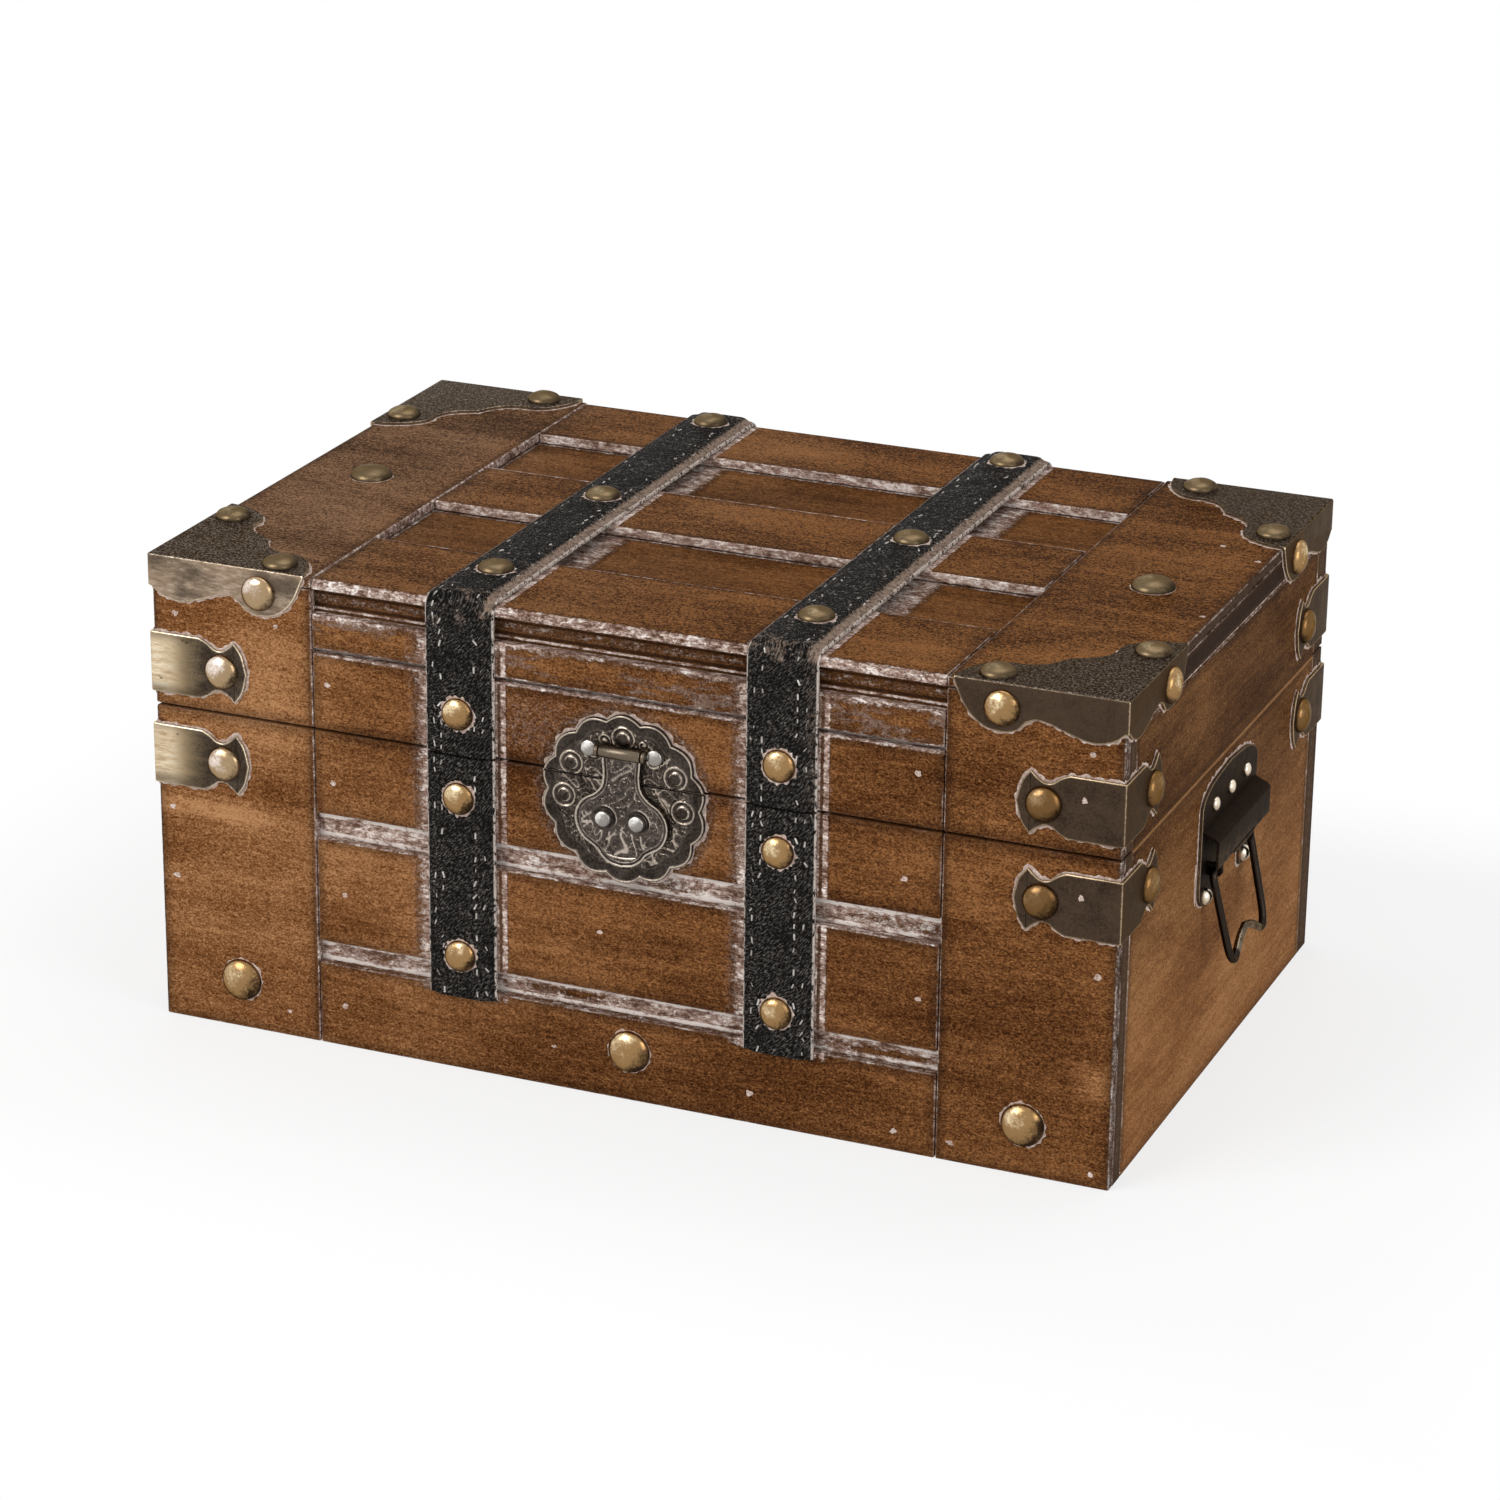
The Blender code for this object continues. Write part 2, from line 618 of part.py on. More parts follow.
def fold_edges(made, planes, radius):
    """Round the outer fold edges, where two of the given outer planes meet."""
    bm = bmesh.new()
    bm.from_mesh(made.data)
    folds = []
    for edge in bm.edges:
        shared = 0
        for axis, value in planes:
            if all(abs(vert.co[axis] - value) < SHEET / 10 for vert in edge.verts):
                shared += 1
        if shared == 2:
            folds.append(edge)
    bmesh.ops.bevel(bm, geom=folds, offset=radius, offset_type="OFFSET", segments=2,
                    profile=0.5, affect="EDGES", material=-1)
    bm.to_mesh(made.data)
    bm.free()


def build_caps(lid):
    """Corner caps of the lid: one sheet folded over three faces, held by four tacks."""
    lap = GAP + SHEET
    corner = Vector((HALF_WIDTH, -HALF_DEPTH, HEIGHT))
    inside = corner + Vector((0.0, 0.0, GAP))
    cap = plate("cap_top", cap_top_outline(lap), SHEET,
                plane_matrix((-1, 0, 0), (0, 1, 0), inside + Vector((0, 0, SHEET))))
    front = plate("cap_front", cap_side_outline(lap), SHEET,
                  plane_matrix((-1, 0, 0), (0, 0, -1), corner - Vector((0, GAP, 0))))
    side = plate("cap_side", cap_side_outline(lap), SHEET,
                 plane_matrix((0, 1, 0), (0, 0, -1), corner + Vector((lap, 0, 0))))
    combine(cap, [front, side])
    outer = ((0, HALF_WIDTH + lap), (1, -HALF_DEPTH - lap), (2, HEIGHT + lap))
    fold_edges(cap, outer, SHEET_FOLD)
    spots = (((CAP_TOP_TACK_ALONG, CAP_TOP_TACK_IN, -lap), (0, 0, 1)),
             ((CAP_TOP_TACK_IN, CAP_TOP_TACK_ALONG, -lap), (0, 0, 1)),
             ((CAP_SIDE_TACK_ALONG, -lap, CAP_SIDE_TACK_DOWN), (0, -1, 0)),
             ((-lap, CAP_SIDE_TACK_ALONG, CAP_SIDE_TACK_DOWN), (1, 0, 0)))
    heads = []
    for (u, v, down), out in spots:
        spot = corner + Vector((-u, v, -down))
        heads.append(dome(CAP_TACK_RADIUS, CAP_TACK_RADIUS * TACK_RISE, facing(out, spot)))
    combine(cap, heads)
    corners = (("front_right", False, False), ("front_left", True, False),
               ("back_right", False, True), ("back_left", True, True))
    for name, flip_x, flip_y in corners:
        copy = mirror_copy(cap, "lid_corner_cap_" + name, flip_x, flip_y)
        finish(copy, BRONZE, lid, smooth=True)
    bpy.data.objects.remove(cap)


def bracket_outline(lap):
    """Outline of one arm of a bracket: a band, a neck and a flared end with two points."""
    reach = BRACKET_REACH
    half = BRACKET_HALF_HEIGHT
    neck = BRACKET_NECK
    band = smooth_curve([(reach * 0.50, half), (reach * 0.58, half * 0.88),
                         (reach * 0.66, neck * 1.04), (reach * 0.73, neck),
                         (reach * 0.80, neck * 1.18), (reach * 0.87, half)], 2)
    flare = smooth_curve([(reach * 0.87, half), (reach * 0.95, half * 0.62), (reach, 0.0)], 2)
    upper = [(-lap, half)] + band + flare[1:]
    lower = [(u, -v) for u, v in reversed(upper)]
    return upper + lower[1:]


def build_brackets(lid):
    """Eight brackets that wrap the upright edges, four on the lid and four on the base."""
    lap = GAP + SHEET
    rows = (("lid_bracket_", LID_BOTTOM + BRACKET_ABOVE_PARTING, lid),
            ("base_bracket_", BASE_HEIGHT - BRACKET_BELOW_PARTING, None))
    corners = (("front_right", False, False), ("front_left", True, False),
               ("back_right", False, True), ("back_left", True, True))
    for row, height, parent in rows:
        edge = Vector((HALF_WIDTH, -HALF_DEPTH, height))
        bracket = plate("bracket_front", bracket_outline(lap), SHEET,
                        plane_matrix((-1, 0, 0), (0, 0, -1), edge - Vector((0, GAP, 0))))
        side = plate("bracket_side", bracket_outline(lap), SHEET,
                     plane_matrix((0, 1, 0), (0, 0, -1), edge + Vector((lap, 0, 0))))
        combine(bracket, [side])
        outer = ((0, HALF_WIDTH + lap), (1, -HALF_DEPTH - lap))
        fold_edges(bracket, outer, SHEET_FOLD)
        spots = ((edge + Vector((-BRACKET_TACK, -lap, 0)), (0, -1, 0)),
                 (edge + Vector((lap, BRACKET_TACK, 0)), (1, 0, 0)))
        heads = [dome(CAP_TACK_RADIUS, CAP_TACK_RADIUS * TACK_RISE, facing(out, spot))
                 for spot, out in spots]
        combine(bracket, heads)
        for name, flip_x, flip_y in corners:
            copy = mirror_copy(bracket, row + name, flip_x, flip_y)
            finish(copy, BRONZE, parent, smooth=True)
        bpy.data.objects.remove(bracket)


def scalloped_outline():
    """Outline of the whole lock plate: lobes with a notch between each two."""
    points = []
    steps = LOCK_LOBES * 4
    for step in range(steps):
        angle = math.tau * step / steps
        lobe = abs(math.sin(angle * LOCK_LOBES / 2))
        radius = LOCK_RADIUS - LOCK_NOTCH * (1 - lobe)
        points.append((radius * math.cos(angle), radius * math.sin(angle)))
    return points


def half_lock_plate(name, cut_height, keep_upper):
    """The scalloped plate above or below a height, measured from its centre."""
    bm = bmesh.new()
    bm.faces.new([bm.verts.new((u, v, 0.0)) for u, v in scalloped_outline()])
    bmesh.ops.bisect_plane(bm, geom=list(bm.verts) + list(bm.edges) + list(bm.faces),
                           dist=1e-7, plane_co=(0, cut_height, 0), plane_no=(0, 1, 0),
                           clear_inner=keep_upper, clear_outer=not keep_upper)
    pushed = bmesh.ops.extrude_face_region(bm, geom=list(bm.faces))
    top = [part for part in pushed["geom"] if isinstance(part, bmesh.types.BMVert)]
    bmesh.ops.translate(bm, verts=top, vec=(0.0, 0.0, LOCK_SHEET))
    place = plane_matrix((1, 0, 0), (0, 0, 1), (LOCK_X, LOCK_FACE + LOCK_SHEET, LOCK_Z))
    bmesh.ops.transform(bm, matrix=place, verts=bm.verts)
    return make_object(name, bm)


def lock_bosses(angles):
    """Round bosses on a circle of the lock plate, at angles in degrees."""
    bosses = []
    for degrees in angles:
        angle = math.radians(degrees)
        spot = (LOCK_X + LOCK_BOSS_CIRCLE * math.cos(angle), LOCK_FACE,
                LOCK_Z + LOCK_BOSS_CIRCLE * math.sin(angle))
        bosses.append(dome(LOCK_BOSS_RADIUS, LOCK_BOSS_RISE, facing((0, -1, 0), spot), 10, 2))
    return bosses


def build_lock(lid):
    """Two half plates, the ears and pin on the upper one, and the hasp that hangs from them."""
    along_x = Matrix.Rotation(math.pi / 2, 4, "Y")
    bore = HASP_PIN_RADIUS + RUNNING
    upper = half_lock_plate("lock_plate_upper", LID_BOTTOM - LOCK_Z, True)
    lower = half_lock_plate("lock_plate_lower", BASE_HEIGHT - LOCK_Z, False)
    combine(lower, lock_bosses((184, -3)))
    finish(lower, GUNMETAL, smooth=True)
    ear_middle = HASP_BARREL_LENGTH / 2 + GAP + HASP_EAR / 2
    additions = lock_bosses((151, 29, 90))
    for sign in (-1, 1):
        ear_x = LOCK_X + sign * ear_middle
        place = Matrix.Translation((ear_x, HASP_AXIS_Y, HASP_AXIS_Z)) @ along_x
        additions.append(cylinder("ear", HASP_BARREL_RADIUS, HASP_EAR, place))
        web_low = (ear_x - HASP_EAR / 2, HASP_AXIS_Y, HASP_AXIS_Z - HASP_BARREL_RADIUS * 0.8)
        web_high = (ear_x + HASP_EAR / 2, LOCK_FACE + LOCK_SHEET / 2,
                    HASP_AXIS_Z + HASP_BARREL_RADIUS * 0.8)
        additions.append(box("web", web_low, web_high))
        spot = (LOCK_X + sign * LOCK_NAIL_X, LOCK_FACE, HASP_AXIS_Z)
        profile = [(LOCK_NAIL_RADIUS, -TACK_SINK), (LOCK_NAIL_RADIUS, LOCK_NAIL_RISE * 0.8),
                   (LOCK_NAIL_RADIUS * 0.8, LOCK_NAIL_RISE), (0.0, LOCK_NAIL_RISE)]
        additions.append(turned("nail", profile, facing((0, -1, 0), spot), 12))
    combine(upper, additions)
    axis = Matrix.Translation((LOCK_X, HASP_AXIS_Y, HASP_AXIS_Z)) @ along_x
    reach = HASP_BARREL_LENGTH + 2 * (GAP + HASP_EAR)
    combine(upper, [cylinder("bore", bore, reach + GAP, axis)], "DIFFERENCE")
    finish(upper, GUNMETAL, lid, smooth=True)
    finish(cylinder("hasp_pin", HASP_PIN_RADIUS, reach, axis, 12), STEEL, lid, smooth=True)
    build_hasp(lid, axis, bore)


def hasp_outline():
    """Outline of the hasp's leaf from its axis down: a waist, two lobes and a round end."""
    half = HASP_HALF_WIDTH
    long = HASP_LENGTH
    neck = HASP_NECK
    side = smooth_curve([(neck * 1.09, 0.0), (neck * 1.04, long * 0.10), (neck, long * 0.21),
                         (neck * 1.11, long * 0.31), (half * 0.59, long * 0.385),
                         (half * 0.80, long * 0.44), (half * 0.95, long * 0.52),
                         (half, long * 0.61), (half * 0.95, long * 0.71),
                         (half * 0.82, long * 0.79), (half * 0.65, long * 0.835),
                         (half * 0.53, long * 0.87), (half * 0.43, long * 0.925),
                         (half * 0.24, long * 0.98), (0.0, long)], 2)
    other = [(-u, v) for u, v in reversed(side)]
    return side + other[1:]


def build_hasp(lid, axis, bore):
    """The leaf with its rolled barrel, and the two knobs riveted through it."""
    leaf_back = LOCK_FACE - HASP_STANDOFF
    place = plane_matrix((1, 0, 0), (0, 0, -1), (LOCK_X, leaf_back - HASP_SHEET, HASP_AXIS_Z))
    hasp = plate("hasp", hasp_outline(), HASP_SHEET, place)
    additions = [cylinder("barrel", HASP_BARREL_RADIUS, HASP_BARREL_LENGTH, axis)]
    collar = HASP_KNOB_RADIUS + HASP_COLLAR
    for sign in (-1, 1):
        spot = (LOCK_X + sign * HASP_KNOB_X, leaf_back - HASP_SHEET, HASP_AXIS_Z - HASP_KNOB_DROP)
        profile = [(collar, -TACK_SINK), (collar * 0.93, HASP_COLLAR_RISE),
                   (HASP_KNOB_RADIUS, HASP_COLLAR_RISE),
                   (HASP_KNOB_RADIUS, HASP_KNOB_RISE * 0.85),
                   (HASP_KNOB_RADIUS * 0.8, HASP_KNOB_RISE), (0.0, HASP_KNOB_RISE)]
        additions.append(turned("knob", profile, facing((0, -1, 0), spot), 12))
    combine(hasp, additions)
    combine(hasp, [cylinder("bore", bore, HASP_BARREL_LENGTH * 1.5, axis)], "DIFFERENCE")
    hasp_axis = make_empty("hasp_axis", (LOCK_X, HASP_AXIS_Y, HASP_AXIS_Z), lid)
    finish(hasp, GUNMETAL, hasp_axis, world_position(hasp_axis), smooth=True)


def build_hinges(lid):
    """Two butt hinges: a leaf on the lid, a leaf on the base, and the pin between them."""
    along_x = Matrix.Rotation(math.pi / 2, 4, "Y")
    near = HALF_DEPTH + GAP
    far = near + HINGE_SHEET
    clear = HINGE_KNUCKLE_RADIUS + GAP
    side_knuckle = (HINGE_LENGTH - HINGE_CENTRE_KNUCKLE) / 2 - GAP
    side_centre = (HINGE_LENGTH - side_knuckle) / 2
    for side, sign in (("left", -1), ("right", 1)):
        x = sign * HINGE_X
        rows = (("hinge_lid_leaf_", 1, ((0.0, HINGE_CENTRE_KNUCKLE),), lid),
                ("hinge_base_leaf_", -1,
                 ((-side_centre, side_knuckle), (side_centre, side_knuckle)), None))
        for name, up, knuckles, parent in rows:
            edges = sorted((HINGE_AXIS_Z + up * clear, HINGE_AXIS_Z + up * (clear + HINGE_LEAF)))
            leaf = box(name + side, (x - HINGE_LENGTH / 2, near, edges[0]),
                       (x + HINGE_LENGTH / 2, far, edges[1]))
            additions = []
            for offset, length in knuckles:
                tongue = sorted((HINGE_AXIS_Z, HINGE_AXIS_Z + up * (clear + HINGE_SHEET)))
                additions.append(box("tongue", (x + offset - length / 2, near, tongue[0]),
                                     (x + offset + length / 2, far, tongue[1])))
                place = Matrix.Translation((x + offset, HINGE_AXIS_Y, HINGE_AXIS_Z)) @ along_x
                additions.append(cylinder("knuckle", HINGE_KNUCKLE_RADIUS, length, place))
            for screw in (-1, 1):
                spot = (x + screw * HINGE_SCREW_X, far,
                        HINGE_AXIS_Z + up * (clear + HINGE_LEAF * 0.55))
                additions.append(dome(HINGE_SCREW_RADIUS, HINGE_SCREW_RISE,
                                      facing((0, 1, 0), spot), 10, 2))
            combine(leaf, additions)
            place = Matrix.Translation((x, HINGE_AXIS_Y, HINGE_AXIS_Z)) @ along_x
            hole = cylinder("bore", HINGE_PIN_RADIUS + RUNNING, HINGE_LENGTH * 1.5, place)
            combine(leaf, [hole], "DIFFERENCE")
            finish(leaf, BRONZE, parent, smooth=True)
        pin = cylinder("hinge_pin_" + side, HINGE_PIN_RADIUS, HINGE_LENGTH, place, 12)
        finish(pin, STEEL, smooth=True)


def handle_plate_outline():
    """Outline of a handle plate, seen from outside: a low arch above two rounded feet."""
    half = HANDLE_HALF_WIDTH
    bottom = HANDLE_TOP - HANDLE_PLATE_HEIGHT
    shoulder = HANDLE_TOP - HANDLE_ARCH
    corner = HANDLE_CORNER
    notch = HANDLE_NOTCH_HALF_WIDTH
    foot = HANDLE_FOOT_CORNER
    inner = [(notch, HANDLE_TOP - HANDLE_NOTCH_DROP)]
    inner += arc((notch + foot, bottom + foot), foot, 180, 270, 2)
    lower = inner + arc((half - corner, bottom + corner), corner, -90, 0, 4)
    arch = smooth_curve([(half, shoulder), (half * 0.90, shoulder + HANDLE_ARCH * 0.42),
                         (half * 0.60, shoulder + HANDLE_ARCH * 0.80), (0.0, HANDLE_TOP)], 3)
    right = lower + arch[1:]
    left = [(-u, v) for u, v in reversed(right)]
    return right + left[1:]


def build_handle_plate():
    """A plate with its hood, two lugs for the bail and its nails, on a wall at x = 0."""
    wall = GAP
    axis_x = BAIL_OUT
    face = wall + HANDLE_SHEET
    sideways = (0, 1, 0)
    upward = (0, 0, 1)
    made = plate("handle", handle_plate_outline(), HANDLE_SHEET,
                 plane_matrix(sideways, upward, (wall, HANDLE_Y, 0.0)))
    root = HANDLE_TOP - HOOD_TOP_DROP
    ridge = root - HOOD_SLOPE
    outer = HOOD_DEPTH + HANDLE_SHEET / 2
    inner = outer - HANDLE_SHEET
    foot = ridge - HOOD_FRONT_HEIGHT
    rise = HANDLE_SHEET * 1.2
    section = [(wall + HANDLE_SHEET / 2, root), (inner, ridge), (inner, foot), (outer, foot),
               (outer, ridge), (outer - HANDLE_SHEET, ridge + rise),
               (wall + HANDLE_SHEET / 2, root + rise)]
    hood = plate("hood", section, 2 * HOOD_HALF_WIDTH,
                 plane_matrix((1, 0, 0), upward, (0.0, HANDLE_Y + HOOD_HALF_WIDTH, 0.0)))
    half = HOOD_LIP_HALF_WIDTH
    lip_outline = smooth_curve([(-half, foot), (-half * 0.6, foot - HOOD_BULGE * 0.8),
                                (0.0, foot - HOOD_BULGE), (half * 0.6, foot - HOOD_BULGE * 0.8),
                                (half, foot)], 2)
    lip_outline += [(half, foot + HANDLE_SHEET), (-half, foot + HANDLE_SHEET)]
    lip = plate("lip", lip_outline, HANDLE_SHEET,
                plane_matrix(sideways, upward, (inner, HANDLE_Y, 0.0)))
    additions = [hood, lip]
    bore = BAIL_RADIUS + RUNNING
    lug_radius = bore + LUG_WALL
    for sign in (-1, 1):
        lug_y = BAIL_Y + sign * LUG_Y
        along_y = Matrix.Rotation(math.pi / 2, 4, "X")
        place = Matrix.Translation((axis_x, lug_y, BAIL_AXIS_Z)) @ along_y
        additions.append(cylinder("lug", lug_radius, LUG_THICKNESS, place, 12))
        additions.append(box("lug_root", (face - HANDLE_SHEET / 2, lug_y - LUG_THICKNESS / 2,
                                          BAIL_AXIS_Z - lug_radius * 0.9),
                             (axis_x, lug_y + LUG_THICKNESS / 2, BAIL_AXIS_Z + lug_radius * 0.9)))
        spot = (face, BAIL_Y + sign * HANDLE_STOP_Y, HANDLE_TOP - HANDLE_STOP_DROP)
        additions.append(dome(HANDLE_STOP_RADIUS, HANDLE_STOP_RISE, facing((1, 0, 0), spot), 12, 3))
    for step in (-1, 0, 1):
        spot = (face, HANDLE_Y + step * HANDLE_NAIL_PITCH, HANDLE_TOP - HANDLE_NAIL_DROP)
        additions.append(dome(HANDLE_NAIL_RADIUS, HANDLE_NAIL_RISE, facing((1, 0, 0), spot), 10, 2))
    combine(made, additions)
    axis = Matrix.Translation((axis_x, BAIL_Y, BAIL_AXIS_Z)) @ Matrix.Rotation(math.pi / 2, 4, "X")
    combine(made, [cylinder("bore", bore, 2 * BAIL_HALF_WIDTH, axis, 12)], "DIFFERENCE")
    return made


def bail_path():
    """Half of the bail's centre line, (across, down from its axis), from journal to notch."""
    half = BAIL_HALF_WIDTH
    long = BAIL_LENGTH
    turn = BAIL_RADIUS * 1.6
    journal = [(half - BAIL_JOURNAL, 0.0), (half - turn, 0.0)]
    elbow = arc((half - turn, turn), turn, -90, 0, 4)
    leg = smooth_curve([(half, turn), (half * 0.97, long * 0.45), (half * 0.93, long * 0.82),
                        (half * 0.86, long * 0.95), (half * 0.73, long),
                        (half * 0.56, long * 0.95), (half * 0.30, long - BAIL_NOTCH * 0.72),
                        (0.0, long - BAIL_NOTCH)], 2)
    return journal[:1] + elbow + leg[1:]


def build_bail(name, sign, axis_x):
    """A bail of round wire that leans on the heads of the two lower nails."""
    half = bail_path()
    points = half + [(-u, v) for u, v in reversed(half[:-1])]
    points = [Vector((0.0, across, -down)) for across, down in points]
    bm = bmesh.new()
    rings = []
    for index, point in enumerate(points):
        before = points[max(index - 1, 0)]
        after = points[min(index + 1, len(points) - 1)]
        sideways = (after - before).normalized().cross(Vector((1, 0, 0)))
        ring = []
        for step in range(BAIL_SIDES):
            angle = math.tau * step / BAIL_SIDES
            outward = Vector((math.cos(angle), 0, 0)) + sideways * math.sin(angle)
            ring.append(bm.verts.new(point + outward * BAIL_RADIUS))
        rings.append(ring)
    for first, second in zip(rings, rings[1:]):
        for index in range(BAIL_SIDES):
            follow = (index + 1) % BAIL_SIDES
            bm.faces.new((first[index], first[follow], second[follow], second[index]))
    bm.faces.new(rings[0])
    bm.faces.new(list(reversed(rings[-1])))
    made = finish(make_object(name, bm), BRONZE, origin=(0, 0, 0), smooth=True)
    made.location = (sign * axis_x, BAIL_Y, BAIL_AXIS_Z)
    made.rotation_euler = (0.0, -sign * BAIL_LEAN, 0.0)
    return made


def build_handles():
    """A handle plate and its bail at each end of the base."""
    right = build_handle_plate()
    for side, sign in (("left", -1), ("right", 1)):
        copy = mirror_copy(right, "handle_plate_" + side, flip_x=sign < 0)
        finish(copy, BRONZE, smooth=True)
        copy.location.x += sign * HALF_WIDTH
        build_bail("handle_bail_" + side, sign, HALF_WIDTH + BAIL_OUT)
    bpy.data.objects.remove(right)


def build_chest():
    """Build the whole chest, the lid's pieces parented to an empty on the hinge axis."""
    clear_scene()
    lid = make_empty("lid_axis", (0.0, HINGE_AXIS_Y, HINGE_AXIS_Z))
    build_base()
    build_lid_box(lid)
    build_front_boards(lid)
    build_top_boards(lid)
    build_straps(lid)
    build_caps(lid)
    build_brackets(lid)
    build_lock(lid)
    build_hinges(lid)
    build_handles()


build_chest()
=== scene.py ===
# %% [markdown]
# # A small treasure chest
#
# The chest's solids are packed as a frame: right in size, place and movement, and plain to look
# at. This lesson dresses them. Every board, strap and metal fitting gets the softened edges, the
# relief and the worn finish of the real one. Nothing of the frame is moved, because the hinges
# and the collision shapes belong to it.

# %% Load the frame
import math
from functools import reduce
from operator import or_

import bmesh
import bpy
from mathutils import Matrix, Vector, kdtree, noise


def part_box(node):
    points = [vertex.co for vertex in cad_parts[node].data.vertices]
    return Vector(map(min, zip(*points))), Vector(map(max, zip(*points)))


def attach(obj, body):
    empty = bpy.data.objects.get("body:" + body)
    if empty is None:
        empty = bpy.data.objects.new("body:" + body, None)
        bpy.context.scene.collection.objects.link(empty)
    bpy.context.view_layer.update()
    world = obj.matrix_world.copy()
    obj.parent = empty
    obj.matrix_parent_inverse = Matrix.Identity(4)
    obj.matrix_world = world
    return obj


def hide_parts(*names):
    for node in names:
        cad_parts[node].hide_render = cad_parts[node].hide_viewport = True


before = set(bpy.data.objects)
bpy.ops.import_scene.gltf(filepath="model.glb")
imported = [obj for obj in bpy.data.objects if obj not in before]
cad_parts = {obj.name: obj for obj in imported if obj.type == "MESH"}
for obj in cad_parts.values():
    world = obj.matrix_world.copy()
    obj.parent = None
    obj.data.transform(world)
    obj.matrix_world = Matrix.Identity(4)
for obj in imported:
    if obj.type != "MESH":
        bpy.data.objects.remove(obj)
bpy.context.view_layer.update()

# %% [markdown]
# ## Lengths in millimetres
#
# A maker's drawing of a box this size is in millimetres, so the meshes are built in them and
# shrunk to metres once, when a piece is finished. The box's outer faces are read from the
# solids instead of being typed again, so the boards can't drift away from the frame.

# %% Corners of the solids
MM = 0.001
SIDES = (("left", -1), ("right", 1))


def corners(node):
    """Lowest and highest corner of a solid, in millimetres."""
    low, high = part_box(node)
    return low / MM, high / MM


SIDE, BACK, BASE_TOP = corners("base_back_wall")[1]
FRONT = corners("base_front_slat_middle")[0].y
TOP = corners("lid_top_slat_middle")[1].z
LID_BOTTOM = corners("lid_back_wall")[0].z
MIDDLE = (BASE_TOP + LID_BOTTOM) / 2
print(f"box {2 * SIDE:.1f} x {BACK - FRONT:.1f} x {TOP:.1f} mm, lid from z = {LID_BOTTOM:.1f}")

# %% [markdown]
# ## The camera
#
# The photograph looks at the chest's front from the right and from above, with a long lens that
# keeps the edges almost parallel. The camera's directions come from the two angles that it looks
# along and a small tilt, so each number can be read as a movement of the tripod.

# %% Camera at the photograph's angle
TURN, DOWN, TILT = math.radians(22.56), math.radians(21.06), math.radians(0.63)
CAMERA_PLACE = (0.5178, -1.2465, 0.5949)
FOCAL_PIXELS, PHOTO_PIXELS, SENSOR = 4771.0, 1500.0, 36.0


def shown(name, data):
    """A new object of the scene that holds this data."""
    made = bpy.data.objects.new(name, data)
    bpy.context.scene.collection.objects.link(made)
    return made


back = Vector((math.sin(TURN) * math.cos(DOWN), -math.cos(TURN) * math.cos(DOWN), math.sin(DOWN)))
level = (-back).cross(Vector((0, 0, 1))).normalized()
across = level * math.cos(TILT) + level.cross(-back) * math.sin(TILT)
camera = shown("camera", bpy.data.cameras.new("camera"))
camera.data.sensor_width = SENSOR
camera.data.lens = FOCAL_PIXELS / PHOTO_PIXELS * SENSOR
camera.matrix_world = (Matrix.Translation(CAMERA_PLACE)
                       @ Matrix((across, back.cross(across), back)).transposed().to_4x4())
bpy.context.scene.camera = camera
print("lens", round(camera.data.lens, 1), "mm")

# %% [markdown]
# ## Shader maths that reads like maths
#
# A worn finish is mostly sums of masks: near an edge, but only in patches. In the node editor
# that is a wall of small Math boxes. Here a socket is wrapped in a class with the usual signs,
# so `1 - edge * patches` adds the nodes by itself, `a & b` keeps the smaller value and `a | b`
# the larger one.

# %% A socket with the usual signs
class Wire:
    """An output socket that can stand in a sum."""

    def __init__(self, sheet, socket):
        self.sheet, self.socket = sheet, socket

    def maths(self, operation, *values):
        return self.sheet.node("Math", {"operation": operation}, dict(enumerate(values)))

    def __add__(self, other):
        return self.maths("ADD", self, other)

    def __sub__(self, other):
        return self.maths("SUBTRACT", self, other)

    def __rsub__(self, other):
        return self.maths("SUBTRACT", other, self)

    def __mul__(self, other):
        return self.maths("MULTIPLY", self, other)

    def __and__(self, other):
        return self.maths("MINIMUM", self, other)

    def __or__(self, other):
        return self.maths("MAXIMUM", self, other)

    def __abs__(self):
        return self.maths("ABSOLUTE", self)

    __radd__ = __add__
    __rmul__ = __mul__


def middle_of(a, b, c):
    """The middle one of three values."""
    return (a & b) | ((a | b) & c)


class Sheet:
    """A sheet of nodes, of a material or of the world."""

    def __init__(self, tree):
        self.tree = tree

    def feed(self, node, sockets):
        """Link a node's sockets to wires, or set them to values."""
        for name, value in sockets.items():
            if isinstance(value, Wire):
                self.tree.links.new(value.socket, node.inputs[name])
            else:
                node.inputs[name].default_value = value

    def node(self, kind, settings=None, sockets=None, output=0):
        """Add any node: its settings first, then its sockets."""
        made = self.tree.nodes.new("ShaderNode" + kind)
        for name, value in (settings or {}).items():
            if name == "stops":
                for place, colour in value[2:]:
                    made.color_ramp.elements.new(place)
                for element, (place, colour) in zip(made.color_ramp.elements, value):
                    element.position, element.color = place, (*colour, 1.0)
            else:
                setattr(made, name, value)
        self.feed(made, sockets or {})
        return Wire(self, made.outputs[output])

    def seen(self):
        """1 for rays from the camera, and for those that metal or glass sends on."""
        path = self.node("LightPath").socket.node
        return reduce(or_, [Wire(self, path.outputs[f"Is {ray} Ray"])
                            for ray in ("Camera", "Glossy", "Transmission")])


print("signs ready")

# %% [markdown]
# A material is a sheet of nodes around one Principled shader. The class below keeps the few
# steps that every finish here repeats: a noise whose grains have a size in millimetres, a soft
# step between two values, bands, a mix of two colours and a ramp. Patterns read the object's own
# coordinates, which are also the chest's, so grain and wash stay on the wood in every pose.

